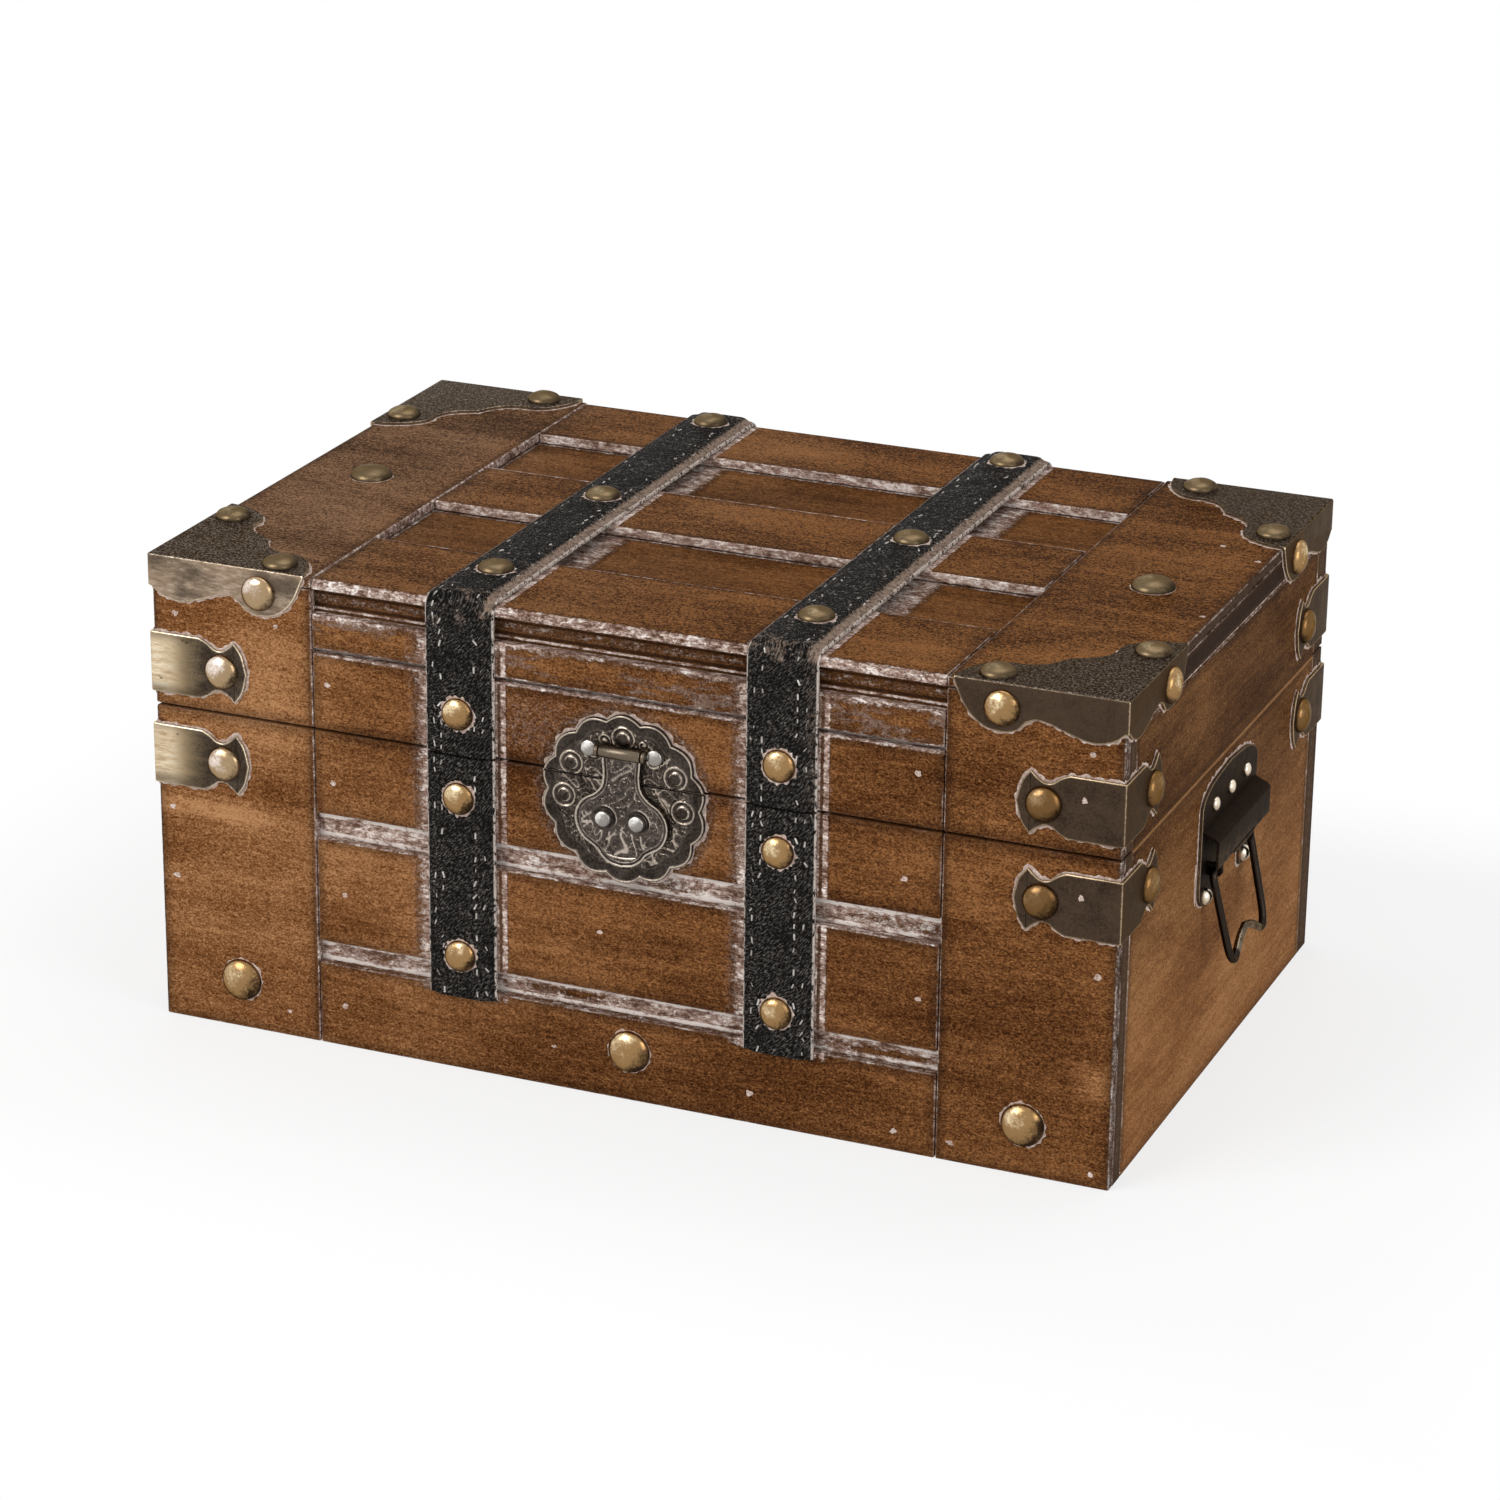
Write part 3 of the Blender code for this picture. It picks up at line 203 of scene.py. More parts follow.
# %% A finish and its nodes
class Finish(Sheet):
    """One material: its nodes, and the shader that they feed."""

    def __init__(self, name, metallic=0.0, gloss=0.5, tint=(1.0, 1.0, 1.0)):
        self.material = bpy.data.materials.new(name)
        self.material.use_nodes = True
        super().__init__(self.material.node_tree)
        self.shader = self.tree.nodes["Principled BSDF"]
        self.feed(self.shader, {"Metallic": metallic, "Specular IOR Level": gloss,
                                "Specular Tint": (*tint, 1.0)})
        self.where = self.node("TexCoord", output="Object")

    def axes(self):
        """The three coordinates, in millimetres."""
        place = self.node("VectorMath", {"operation": "SCALE"}, {0: self.where, "Scale": 1 / MM})
        split = self.node("SeparateXYZ", sockets={0: place}).socket.node
        return [Wire(self, socket) for socket in split.outputs]

    def noise(self, grains, detail=2.0, rough=0.5, warp=0.0, shift=0.0):
        """Noise with this many grains to a millimetre, or with that many along x, y and z."""
        along = grains if isinstance(grains, tuple) else [grains] * 3
        place = self.node("Mapping", sockets={"Vector": self.where, "Location": [shift] * 3,
                                              "Scale": [grain / MM for grain in along]})
        return self.node("TexNoise", sockets={"Vector": place, "Scale": 1.0, "Detail": detail,
                                              "Roughness": rough, "Distortion": warp})

    def step(self, value, start, end):
        """0 before start and 1 after end, with a soft turn between them."""
        return self.node("MapRange", {"interpolation_type": "SMOOTHSTEP"},
                         {"Value": value, "From Min": start, "From Max": end})

    def near(self, value, centre, width):
        """1 at the centre of a band, and 0 from this far away from it."""
        return self.step(abs(value - centre), width, width * 0.3)

    def bands(self, value, *rows):
        """The strongest of several bands, each with a centre, a width and a strength."""
        return reduce(or_, [self.near(value, centre, width) * strength
                            for centre, width, strength in rows])

    def mix(self, factor, first, second):
        """The first colour where factor is 0, the second one where it is 1."""
        pair = [colour if isinstance(colour, Wire) else (*colour, 1.0)
                for colour in (first, second)]
        return self.node("Mix", {"data_type": "RGBA"}, {0: factor, 6: pair[0], 7: pair[1]}, 2)

    def ramp(self, value, *colours):
        """Colours laid evenly along the middle of a noise's range."""
        step = 0.4 / (len(colours) - 1)
        stops = [(0.3 + step * index, colour) for index, colour in enumerate(colours)]
        return self.node("ValToRGB", {"stops": stops}, {0: value})

    def done(self, colour, rough, height, depth, strength=1.0):
        """Feed the shader: colour, roughness, and a bump that is this many mm deep."""
        bump = self.node("Bump", sockets={"Height": height, "Distance": depth * MM,
                                          "Strength": strength})
        self.feed(self.shader, {"Base Color": colour, "Roughness": rough, "Normal": bump})
        return self.material


print("finish helpers ready")

# %% [markdown]
# ## Pieces
#
# One visible piece may have several finishes: a strap has leather, thread and brass nails. Each
# part of it is made in its own small bmesh, gets the number of its finish, and is added to the
# whole. Every mesh carries one attribute, `worn`, which is 0 in hollows and 1 on the edges that
# hands polish; on nail heads it also carries painted light. The metal finishes read it.

# %% Put parts together
ALL = []


def fresh():
    """An empty bmesh with the attribute that the metal finishes read."""
    bm = bmesh.new()
    bm.verts.layers.float.new("worn")
    return bm


def add_part(whole, part, finish=0):
    """Put a part into the whole piece, with the number of its finish."""
    for face in part.faces:
        face.material_index, face.smooth = finish, True
    mesh = bpy.data.meshes.new("part")
    part.to_mesh(mesh)
    part.free()
    whole.from_mesh(mesh)
    bpy.data.meshes.remove(mesh)


def finish_piece(node, bm, materials, sharp=35.0, soften=False, body=None):
    """Turn a bmesh in millimetres into the piece that stands for a solid of the frame."""
    bmesh.ops.scale(bm, vec=(MM, MM, MM), verts=bm.verts)
    mesh = bpy.data.meshes.new("dressed_" + node)
    bm.to_mesh(mesh)
    bm.free()
    mesh.set_sharp_from_angle(angle=math.radians(sharp))
    for material in materials:
        mesh.materials.append(material)
    piece = shown("dressed_" + node, mesh)
    if soften:
        piece.modifiers.new("even shading", "WEIGHTED_NORMAL").keep_sharp = True
    on_lid = node.startswith("lid_") or node == "lock_plate_upper"
    body = body or ("lid" if on_lid else "base")
    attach(piece, body)
    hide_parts(node)
    ALL.append((node, len(mesh.polygons)))


print("piece helpers ready")

# %% [markdown]
# ## Flat outlines and smooth curves
#
# Sheet metal is cut from a flat drawing. A drawing here is a list of points that a smooth curve
# runs through, filled to a face and stood on the box by a matrix whose axes are the drawing's
# right, its up and its outward side. Turned parts are a profile spun about its axis.

# %% Drawings
def scaled(points, wide, high):
    """Points given as shares of a width and a height."""
    return [(u * wide, v * high) for u, v in points]


def smooth_curve(points, steps=6):
    """Points of a smooth curve through the given points."""
    points = [Vector(point) for point in points]
    ends = [points[0] * 2 - points[1], *points, points[-1] * 2 - points[-2]]
    curve = []
    for before, start, end, after in zip(ends, ends[1:], ends[2:], ends[3:]):
        for step in range(steps):
            t = step / steps
            bend = (2 * start + (end - before) * t
                    + (2 * before - 5 * start + 4 * end - after) * t * t
                    + (3 * start - before - 3 * end + after) * t ** 3)
            curve.append(bend / 2)
    return curve + [points[-1]]


def arc(centre, radius, start, end, steps):
    """Points of an arc between two angles in degrees."""
    angles = [math.radians(start + (end - start) * step / steps) for step in range(steps + 1)]
    return [Vector((centre[0] + radius * math.cos(angle), centre[1] + radius * math.sin(angle)))
            for angle in angles]


def with_mirror(half, flip):
    """Half an outline and its mirror image, which share the last point."""
    return half + [Vector((u * flip[0], v * flip[1])) for u, v in reversed(half[:-1])]


def evenly(outline, spacing=0.8):
    """The closed outline with points at about this spacing."""
    points = []
    for start, end in zip(outline, list(outline[1:]) + [outline[0]]):
        start, end = Vector(start), Vector(end)
        count = max(1, round((end - start).length / spacing))
        points += [start.lerp(end, step / count) for step in range(count)]
    return points


def plane(along, up, origin):
    """Matrix from a drawing to the plane through origin; its +Z is along cross up."""
    along, up = Vector(along), Vector(up)
    turned_to = Matrix((along, up, along.cross(up))).transposed().to_4x4()
    return Matrix.Translation(Vector(origin)) @ turned_to


def facing(outward, origin):
    """Matrix that stands a piece made along +Z on a face with this outward direction."""
    turned_to = Vector(outward).to_track_quat("Z", "Y").to_matrix().to_4x4()
    return Matrix.Translation(Vector(origin)) @ turned_to


print("a quarter circle has", len(arc((0, 0), 1, 0, 90, 8)), "points")

# %% [markdown]
# The steps that most pieces share are named here: fill a drawing, push it out to a sheet, spin a
# profile and round the edges. They are the tools of Edit Mode, called by their own operators.

# %% Steps of the modeller
def verts_in(geometry):
    """The points among what an operator returned."""
    return [item for item in geometry if isinstance(item, bmesh.types.BMVert)]


def open_edges(bm):
    """The edges with a face on one side only."""
    return [edge for edge in bm.edges if edge.is_boundary]


def moved(bm, place):
    """The bmesh, moved by a matrix."""
    bmesh.ops.transform(bm, matrix=place, verts=bm.verts)
    return bm


def bevelled(bm, edges, offset, segments, **more):
    """Round these edges."""
    bmesh.ops.bevel(bm, geom=edges, offset=offset, offset_type="OFFSET", segments=segments,
                    profile=0.5, affect="EDGES", material=-1, **more)
    return bm


def placed(drawing, place):
    """The drawing's points, stood on a face."""
    return [place @ Vector((*point, 0.0)) for point in drawing]


def filled(outline, place):
    """A bmesh with one face inside a drawing's outline."""
    bm = fresh()
    bm.faces.new([bm.verts.new(point) for point in placed(outline, place)])
    return bm


def pushed_out(bm, vector):
    """Give the faces of a bmesh a thickness: their copy moves by the vector."""
    extruded = bmesh.ops.extrude_face_region(bm, geom=list(bm.faces))["geom"]
    bmesh.ops.translate(bm, verts=verts_in(extruded), vec=vector)
    bmesh.ops.recalc_face_normals(bm, faces=bm.faces)
    return bm


def slip(outline, place, thick=0.06):
    """A slip of wash, so thin that only its edge colour shows."""
    return pushed_out(filled(outline, place), place.to_3x3() @ Vector((0, 0, thick)))


def spun(profile, steps, ring=False):
    """A profile of (radius, height) points spun about Z; a ring's profile is closed first."""
    bm = fresh()
    points = [bm.verts.new((radius, 0.0, height)) for radius, height in profile]
    edges = [bm.edges.new(pair) for pair in zip(points, points[1:])]
    if ring:
        edges.append(bm.edges.new((points[-1], points[0])))
    bmesh.ops.spin(bm, geom=points + edges, cent=(0, 0, 0), axis=(0, 0, 1), angle=math.tau,
                   steps=steps, use_merge=True)
    bmesh.ops.remove_doubles(bm, verts=bm.verts, dist=0.0005)
    return bm


def turned(profile, steps=32):
    """A spun profile, closed below."""
    bm = spun(profile, steps)
    bmesh.ops.contextual_create(bm, geom=open_edges(bm))
    bmesh.ops.recalc_face_normals(bm, faces=bm.faces)
    return bm


def cube(low, high):
    """A sharp box between two corners."""
    bm = fresh()
    place = Matrix.Translation((low + high) / 2) @ Matrix.Diagonal((*(high - low), 1.0))
    bmesh.ops.create_cube(bm, size=1.0, matrix=place)
    return bm


def board_mesh(low, high, edge):
    """A box between two corners, with its edges rounded."""
    bm = cube(low, high)
    return bevelled(bm, list(bm.edges), edge, 3)


print("board:", len(board_mesh(Vector((0, 0, 0)), Vector((9, 9, 9)), 1.0).faces), "faces")

# %% [markdown]
# ## Wood
#
# The boards are stained in browns, with a fine mottled grain along their length. A pale pinkish
# wash was rubbed into every groove and wiped off the faces, so it stays in corners and on worn
# edges. An image could show that, but a procedural stain is sharp at any distance. It adds
# clouds, long grain, curls and grit, and reads two ramps, because the stain of most boards
# changes along their length.
#
# The wear, and the painted shade that darkens the wood near its edges, need the distance to a
# board's nearest edge. A point on a board's skin has three depths below its pairs of faces: the
# smallest is 0, and the middle one is that distance.

# %% Stained and washed wood
WASH_TONES = ((0.13, 0.070, 0.050), (0.44, 0.305, 0.250), (0.97, 0.88, 0.82))
FILM, CREVICE_SHADE = (0.56, 0.41, 0.345), (0.018, 0.009, 0.006)
END_GRAIN = ((0.034, 0.018, 0.010), (0.080, 0.046, 0.027), (0.17, 0.11, 0.070))
BARE = ((0.20, 0.11, 0.05), (0.33, 0.19, 0.09), (0.45, 0.29, 0.16))


def wood(node, box, tones, blend, marks=None, along="x", worn=1.0, inner=None, gritty=1.0):
    """A stain from the first tones to the second; wash and painted shade at edges and where marks
    says.
    """
    finish = Finish("stain_" + node, gloss=0.004)
    x, y, z = finish.axes()
    lengthwise = (0, 1, 2) if along == "x" else (1, 0, 2)

    def grained(long, across, *rest, **more):
        """Noise whose grains lie along the board."""
        grains = tuple((long, across, across)[axis] for axis in lengthwise)
        return finish.noise(grains, *rest, **more)

    streaky = grained(0.009, 0.13, 4.0, 0.60, 0.5)
    grain = grained(0.055, 0.75, 6.0, 0.72, 0.5)
    curl = grained(0.50, 0.95, 3.0, 0.6, 2.0, shift=8.0)
    cloud = grained(0.016, 0.035, 4.0, 0.55, 0.5, shift=6.0)
    grit = finish.noise((1.3, 1.7 / gritty, 1.7), 4.0, 0.85)
    share, lift = blend(finish, x, y, z)
    tone = ((cloud - 0.5) * 0.44 * gritty + streaky * 0.24 + grain * 0.32 + 0.22
            + (curl - 0.5) * 0.72 * gritty + (grit - 0.5) * gritty + lift)
    colour = finish.mix(share, *(finish.ramp(tone, *stain) for stain in tones))
    if along == "x":
        ends = finish.step(abs(x), SIDE - 0.9, SIDE - 0.4)
        rings = finish.noise((0.2, 0.35, 1.2), 4.0, 0.7)
        colour = finish.mix(ends, colour, finish.ramp(rings * 0.6 + grit * 0.4, *END_GRAIN))
    if inner:
        bare = finish.step(inner(x, y, z), -0.3, 0.3)
        colour = finish.mix(bare, colour, finish.ramp(grain * 0.7 + grit * 0.3, *BARE))
    patches = finish.noise(0.10, 3.0, 0.65, shift=3.0)
    ragged = finish.noise((0.75, 0.9, 0.9), 5.0, 0.75, 0.6, shift=7.0)
    streaks = grained(0.26, 0.95, 4.0, 0.7, 1.4, shift=2.0)
    depths = [(axis - low) & (high - axis) for axis, low, high in zip(finish.axes(), *box)]
    edge = middle_of(*depths) + (ragged - 0.5) * 1.4
    rubbed = (finish.step(edge, 0.58, 0.05) * finish.step(patches, 0.40, 0.56) * worn
              * (1 - finish.near(z, MIDDLE, 2.4) * 0.9))
    shade = finish.step(edge, 4.0, 0.5) * 0.42
    wash = finish.step(grit, 0.745, 0.81) * finish.step(patches, 0.50, 0.66) * 0.6
    broken = (ragged - 0.5) * 1.1 + (grit - 0.5) * 0.7
    caked = 0.0
    if marks:
        washed, painted_shade, *films = marks(finish, x, y, z)
        wash = wash | finish.step(washed + broken + (streaks - 0.5) * 0.5, 0.28, 0.80)
        for film in films:
            colour = finish.mix(finish.step(film + broken * 0.8, 0.15, 0.75) * 0.8, colour, FILM)
        # Painted shade: besides the darkening near the edges, the marks' painted shade and a dark
        # fringe round the wash.
        shade = shade | painted_shade | (finish.near(washed, 0.30, 0.28) * 0.40)
        caked = ((washed | 0.95) - 0.95) * 0.8
    colour = finish.mix(shade, colour, CREVICE_SHADE)
    blots = grained(0.16, 0.30, 3.0, 0.6, 0.9, shift=12.0)
    pale = finish.ramp(broken * 0.6 + streaks * 0.9 + blots * 0.9 + caked - 0.43, *WASH_TONES)
    colour = finish.mix((wash | rubbed) * 0.95, colour, pale)
    rough = finish.step(tone, 0.2, 0.8) * 0.16 + 0.40 + (wash | rubbed) * 0.2
    height = grit * 0.6 + curl * 0.7 + (wash | rubbed) * (streaks * 1.4 + 0.2)
    return finish.done(colour, rough, height, 0.24, 0.9)


print("wood: wash", WASH_TONES[1])

# %% [markdown]
# Each family of boards has its own tones: the front is warm and light at the left and deep red
# brown at the right, partly a change of stain and partly painted light from the left; the top is
# duller, and the sides go from a light orange brown near the floor to a darker brown on the lid,
# with a painted highlight along the parting.

# %% Tones of the boards
FRONT_TONES = (((0.072, 0.023, 0.005), (0.222, 0.092, 0.033), (0.46, 0.235, 0.105)),
               ((0.030, 0.009, 0.0025), (0.130, 0.050, 0.0165), (0.32, 0.142, 0.052)))
TOP_TONES = (((0.034, 0.015, 0.006), (0.128, 0.065, 0.033), (0.28, 0.155, 0.085)),
             ((0.028, 0.009, 0.002), (0.122, 0.049, 0.016), (0.28, 0.120, 0.042)))
SIDE_TONES = (((0.110, 0.036, 0.007), (0.265, 0.115, 0.040), (0.46, 0.235, 0.100)),
              ((0.026, 0.008, 0.002), (0.094, 0.040, 0.014), (0.24, 0.115, 0.045)))


def along_front(finish, x, y, z):
    """From the left tones to the right ones, sooner towards the lid, partly stain and partly painted
    light; and two amber places.
    """
    high = finish.step(z, 40.0, 96.0) * finish.step(x, -118.0, -76.0) * 0.8
    patch = finish.step(abs(x - 145.0) | abs(z - 32.0), 9.0, 1.0)
    streak = finish.near(z, 69.0, 4.0) * finish.step(x, -103.0, -118.0)
    above = finish.near(z, 78.0, 7.0) * finish.step(x, -100.0, -112.0)
    lid = finish.near(z, 113.0, 12.0) * finish.near(x, 20.0, 60.0) * 0.7
    slat = finish.near(z, 48.0, 15.0) * finish.near(x, -84.0, 22.0)
    # Partly painted light: the front is lighter at the left, where the key light falls, as well as a
    # change of stain.
    share = (finish.step(x, -122.0, 28.0) | high) * (1 - patch * 0.8)
    return share, streak * 0.13 + patch * 0.05 - above * 0.07 + lid * 0.08 - slat * 0.05


def up_side(finish, x, y, z):
    """From the low tones to the lid's, with a painted highlight along the parting."""
    # A painted highlight along the parting line.
    line = finish.near(z, MIDDLE - 0.4, 1.3)
    return finish.step(z, 22.0, 112.0) * (1 - line), line * 0.22


print("tones:", len(FRONT_TONES + TOP_TONES + SIDE_TONES), "sets of 3")

# %% [markdown]
# ## Where the wash lies
#
# The wash is thick beside the straps, where a cloth can't reach: a wide soft band on their
# left, and a thin line on their right, next to a painted shadow. Marks are functions, so that
# each board can say which of them it has. They return how white a place is, how much painted
# shade it has, and maybe a thin film.

# %% Bands beside the straps
STRAP_X, STRAP_HALF, STRAP_FOOT = 49.8, 10.75, 24.2
# How far from a strap's middle its painted shadow lies.
STRAP_SHADOW = STRAP_HALF + 1.3
LOCK_X, LOCK_Z = 1.5, 94.3


def strap_bands(finish, x, wide=6.4, thin=1.4, gap=2.4):
    """Wash beside both straps: wide at their left, and a thin line at their right."""
    left = [finish.step(abs(x - (centre - STRAP_HALF)), wide, 0.4) * 0.78
            for centre in (-STRAP_X, STRAP_X)]
    right = [finish.bands(x, (centre + STRAP_HALF + gap, thin, 0.80),
                          (centre + STRAP_HALF, 0.9, 0.95)) for centre in (-STRAP_X, STRAP_X)]
    return reduce(or_, left + right)


def strap_haze(finish, x, reach=10.0):
    """A thin film of wash that fades out on both sides of the straps."""
    left = finish.near(abs(x + STRAP_HALF), STRAP_X, reach)
    right = finish.near(abs(x - STRAP_HALF), STRAP_X, reach * 0.6)
    return (left | right) * 0.30


SLAT_TOPS = [corners(node + "_front_slat_" + row)[1].z
             for node, row in (("base", "lower"), ("base", "middle"), ("lid", "lower"))]


def slat_marks(finish, x, y, z):
    """A slat of the front: the bands down to the straps' feet, and a painted shadow at their right.
    """
    # Painted shadow of each strap, just right of its edge.
    painted_shade = finish.bands(x, (STRAP_SHADOW - STRAP_X, 1.3, 0.6), (STRAP_SHADOW + STRAP_X, 1.3, 0.6))
    beside = finish.step(z, STRAP_FOOT - 1.5, STRAP_FOOT + 0.5)
    apart = finish.node("CombineXYZ", sockets={0: x - LOCK_X, 1: z - LOCK_Z})
    far = finish.node("VectorMath", {"operation": "LENGTH"}, {0: apart}, "Value")
    round_lock = finish.step(far, 29.0, 26.0) * 0.30
    upper = finish.bands(z, *zip(SLAT_TOPS, (0.9, 0.9, 1.3), (0.462, 0.66, 0.66)))
    film = (strap_haze(finish, x) * beside) | (finish.step(far, 33.0, 26.0) * 0.26)
    film = film | (finish.near(x, -26.0, 20.0) * finish.near(z, 112.0, 16.0) * 0.24)
    return (strap_bands(finish, x) * beside) | round_lock | upper, painted_shade * beside, film


print("straps at x =", STRAP_X, "mm")

# %% [markdown]
# ## Flakes of wash
#
# Flakes of wash and small dents with a pale rim are thin irregular slips that lie on the face.

# %% Flakes
def irregular(radius, seed, sides=14):
    """Outline of a small flake."""
    spots = []
    for side in range(sides):
        angle = math.tau * side / sides
        here = Vector((math.cos(angle), math.sin(angle), seed * 3.7)) * 1.3
        reach = radius * (0.75 + 0.55 * noise.noise(here))
        spots.append(Vector((reach * math.cos(angle) * 1.2, reach * math.sin(angle))))
    return spots


def add_flakes(whole, spots, place, finish, radius=0.85):
    """Small flakes at the given places of a drawing."""
    for index, (u, v) in enumerate(spots):
        size = radius * (0.8 + 0.5 * abs(math.sin(index * 2.4 + u)))
        outline = [point + Vector((u, v)) for point in irregular(size, index + u)]
        add_part(whole, slip(outline, place, 0.05), finish)


print("a flake has", len(irregular(1.0, 0.0)), "points")

# %% [markdown]
# ## Domed nails
#
# The nails have round brass heads, hammered in by hand, so no two shine alike. A profile is
# spun round its axis and a smooth noise dents it. The crown is rubbed bright, and painted light
# makes the upper left side bright and the lower side dark; `worn` says both here. A ragged ring
# of wash lies under each head.

# %% Brass nail heads
TACK_RINGS, HALO_POINTS, SHANK = 9, 72, 0.25
# The side from which painted light falls on the nail heads: upper left and front.
LIT_SIDE = Vector((-0.55, -0.30, 0.78))


def rub_and_light(head, place, radius, rise):
    """Wear and painted light of a head along +Z: a rubbed crown, a lit upper left, a dark lower side.
    """
    worn = head.verts.layers.float["worn"]
    for vert in head.verts:
        crown = max(0.0, vert.co.z / rise)
        # Painted light: the head is brighter on its side towards the upper left, and darker on the
        # other side.
        side = (place.to_3x3() @ Vector((*vert.co.xy, 0.0))).dot(LIT_SIDE) / radius
        vert[worn] = max(0.0, min(1.0, 0.14 + crown ** 1.5 * 0.60 + side * 0.60))


def add_tack(whole, spot, outward, radius, brass, wash=None, rise=None, halo=0.55, dents=0.10):
    """A domed nail head on a face, with the number of its brass and of the wash round it."""
    rise = rise or radius * 0.52
    angles = [math.pi / 2 * ring / TACK_RINGS for ring in range(TACK_RINGS)]
    dome = [(radius * math.cos(a), SHANK + (rise - SHANK) * math.sin(a)) for a in angles]
    head = turned([(radius, -0.2), *dome, (0.0, rise)])
    place = facing(outward, spot)
    rub_and_light(head, place, radius, rise)
    for vert in head.verts:
        dent = noise.noise((Vector(spot) + vert.co) * 0.42)
        vert.co.z += dents * dent * max(0.0, vert.co.z / rise) * radius / 5
    add_part(whole, moved(head, place), brass)
    if wash is not None:
        ring = []
        for point in arc((0.0, 0.0), 1.0, 0.0, 360.0, HALO_POINTS)[1:]:
            soft, sharp = (noise.noise(Vector((*(point * scale), spot[0] * 0.3 + spot[2] + scale)))
                           for scale in (1.1, 5.0))
            ring.append(point * (radius + halo * max(0.08, 0.55 + soft * 0.9 + sharp * 1.3)))
        add_part(whole, slip(ring, place), wash)


print("ring of wash:", HALO_POINTS, "points")

# %% [markdown]
# ## Aged metal and chalky wash
#
# Brass and bronze darken where nothing touches them and stay bright on edges. The `worn`
# attribute and two noises are added up, and the sum is read as three colours: patina, the
# metal's own tone and polish. On nail heads `worn` also carries painted light, so there the
# polish is partly a painted highlight. Bronze sheet also shines along its folds, which are found
# as the places where two outer planes of the box meet. The slips of wash share one chalky finish.

# %% Patina, metal and polish
SHEET, OFF = 0.7, 0.3
LAP = SHEET + OFF


def metal(name, patina, tone, polish, rough=0.36, shift=0.0, gloss=None, fold=None, dull=0.5,
          mottle=0.7, speckle=0.6, sheen=0.04, gain=0.8):
    """Metal that goes from patina to polish as the worn attribute grows."""
    finish = Finish(name, metallic=1.0, gloss=sheen, tint=(0.52, 0.47, 0.42))
    worn = finish.node("Attribute", {"attribute_name": "worn"}, output="Fac")
    clouds = finish.noise(0.16, 5.0, 0.65, 0.6, shift=1.0)
    grain = finish.noise(1.3, 4.0, 0.75, shift=5.0)
    state = worn * gain + (clouds - 0.5) * mottle + (grain - 0.5) * speckle + shift
    if fold:
        x, y, z = finish.axes()
        a, b, c = SIDE + LAP - abs(x), BACK + LAP - abs(y), TOP + LAP - z
        nearest = middle_of(a, b, c) if fold == "corner" else (a | b)
        state = state + finish.step(nearest + (grain - 0.5) * 1.2, 0.70, 0.1) * 0.8
    low = finish.step(state, -0.10, 0.40)
    high = finish.step(state, 0.55, 1.05)
    colour = finish.mix(high, finish.mix(low, patina, tone), polish)
    if gloss:
        colour = gloss(finish, colour, state)
    shine = rough + 0.22 * (1 - low) - high * 0.08 + (grain - 0.5) * speckle * 0.5
    finish.feed(finish.shader, {"Metallic": 1.0 - (1 - low) * dull})
    return finish.done(colour, shine, grain * 0.7 + clouds * 0.3, 0.07, 0.8)


def chalk(name, *tones):
    """A dry paint with a grainy surface."""
    finish = Finish(name)
    grain = finish.noise(1.3, 3.0, 0.7)
    blots = finish.noise(0.35, 3.0, 0.6, shift=2.0)
    colour = finish.ramp(grain * 0.55 + blots * 0.45, *tones)
    return finish.done(colour, finish.step(grain, 0.3, 0.7) * 0.2 + 0.6, grain, 0.12)


BRASS = metal("aged_brass", (0.030, 0.016, 0.008), (0.33, 0.195, 0.082), (0.95, 0.77, 0.49),
              rough=0.23, shift=0.0, speckle=0.75, mottle=1.3)
OLD_BRASS = metal("old_brass", (0.024, 0.012, 0.005), (0.165, 0.088, 0.032),
                  (0.46, 0.31, 0.165), rough=0.26, shift=-0.02, speckle=0.60, mottle=1.0)
TOP_BRASS = metal("dull_brass", (0.030, 0.020, 0.012), (0.145, 0.102, 0.056),
                  (0.54, 0.43, 0.27), rough=0.30, shift=0.04, speckle=0.34, mottle=0.9)
# A paler copy of the brass for the front left corner's nails: its silvery polish is a painted
# reflection.
REFLECTING_SILVER_BRASS = metal("brass_painted_silvery", (0.034, 0.021, 0.013), (0.39, 0.27, 0.15),
                     (0.96, 0.83, 0.75), rough=0.20, shift=0.10, speckle=0.60, mottle=1.2)
CHALK = chalk("pale_wash", (0.16, 0.09, 0.06), (0.50, 0.37, 0.31), (0.88, 0.79, 0.72))
print("metal:", BRASS.name, "and wash:", CHALK.name)

# %% [markdown]
# ## The walls and the floor
#
# The thin walls carry everything. From outside they show at the ends, at the back and through
# the grooves of the front, where the wash is caked along the edges and wiped thin between them.
# Their inner faces are bare, paler wood, which the finish finds by depth. A real board never has
# a knife edge, so each one is a cube stretched to its solid's box and bevelled in three small
# steps, and a Weighted Normal modifier keeps the flat faces flat under smooth shading.

# %% Marks on the walls and on the lid's panel
WALL_FRONT = corners("base_front_wall")[0].y
PANEL_TOP = corners("lid_top_panel")[1].z
SLAT_BACK_EDGES = [corners("lid_top_slat_" + slat)[end].y for slat, end in
                   (("front", 1), ("middle", 0), ("middle", 1), ("back", 0))]
LID_GROOVE = (corners("lid_front_slat_lower")[1].z + corners("lid_front_slat_upper")[0].z) / 2
INNER_EDGE = SIDE - 52.0
GROOVE_RIMS, GROOVE_MIDDLES = [], []
for under, over, wiped in (("lower", "middle", 1.0), ("middle", "upper", 0.5)):
    low = corners("base_front_slat_" + under)[1].z
    tall = corners("base_front_slat_" + over)[0].z - low
    GROOVE_RIMS += [(low + tall * 0.84, tall * 0.22, 0.85), (low + tall * 0.06, tall * 0.13, 0.85)]
    GROOVE_MIDDLES.append((low + tall * 0.38, tall * 0.34, wiped))


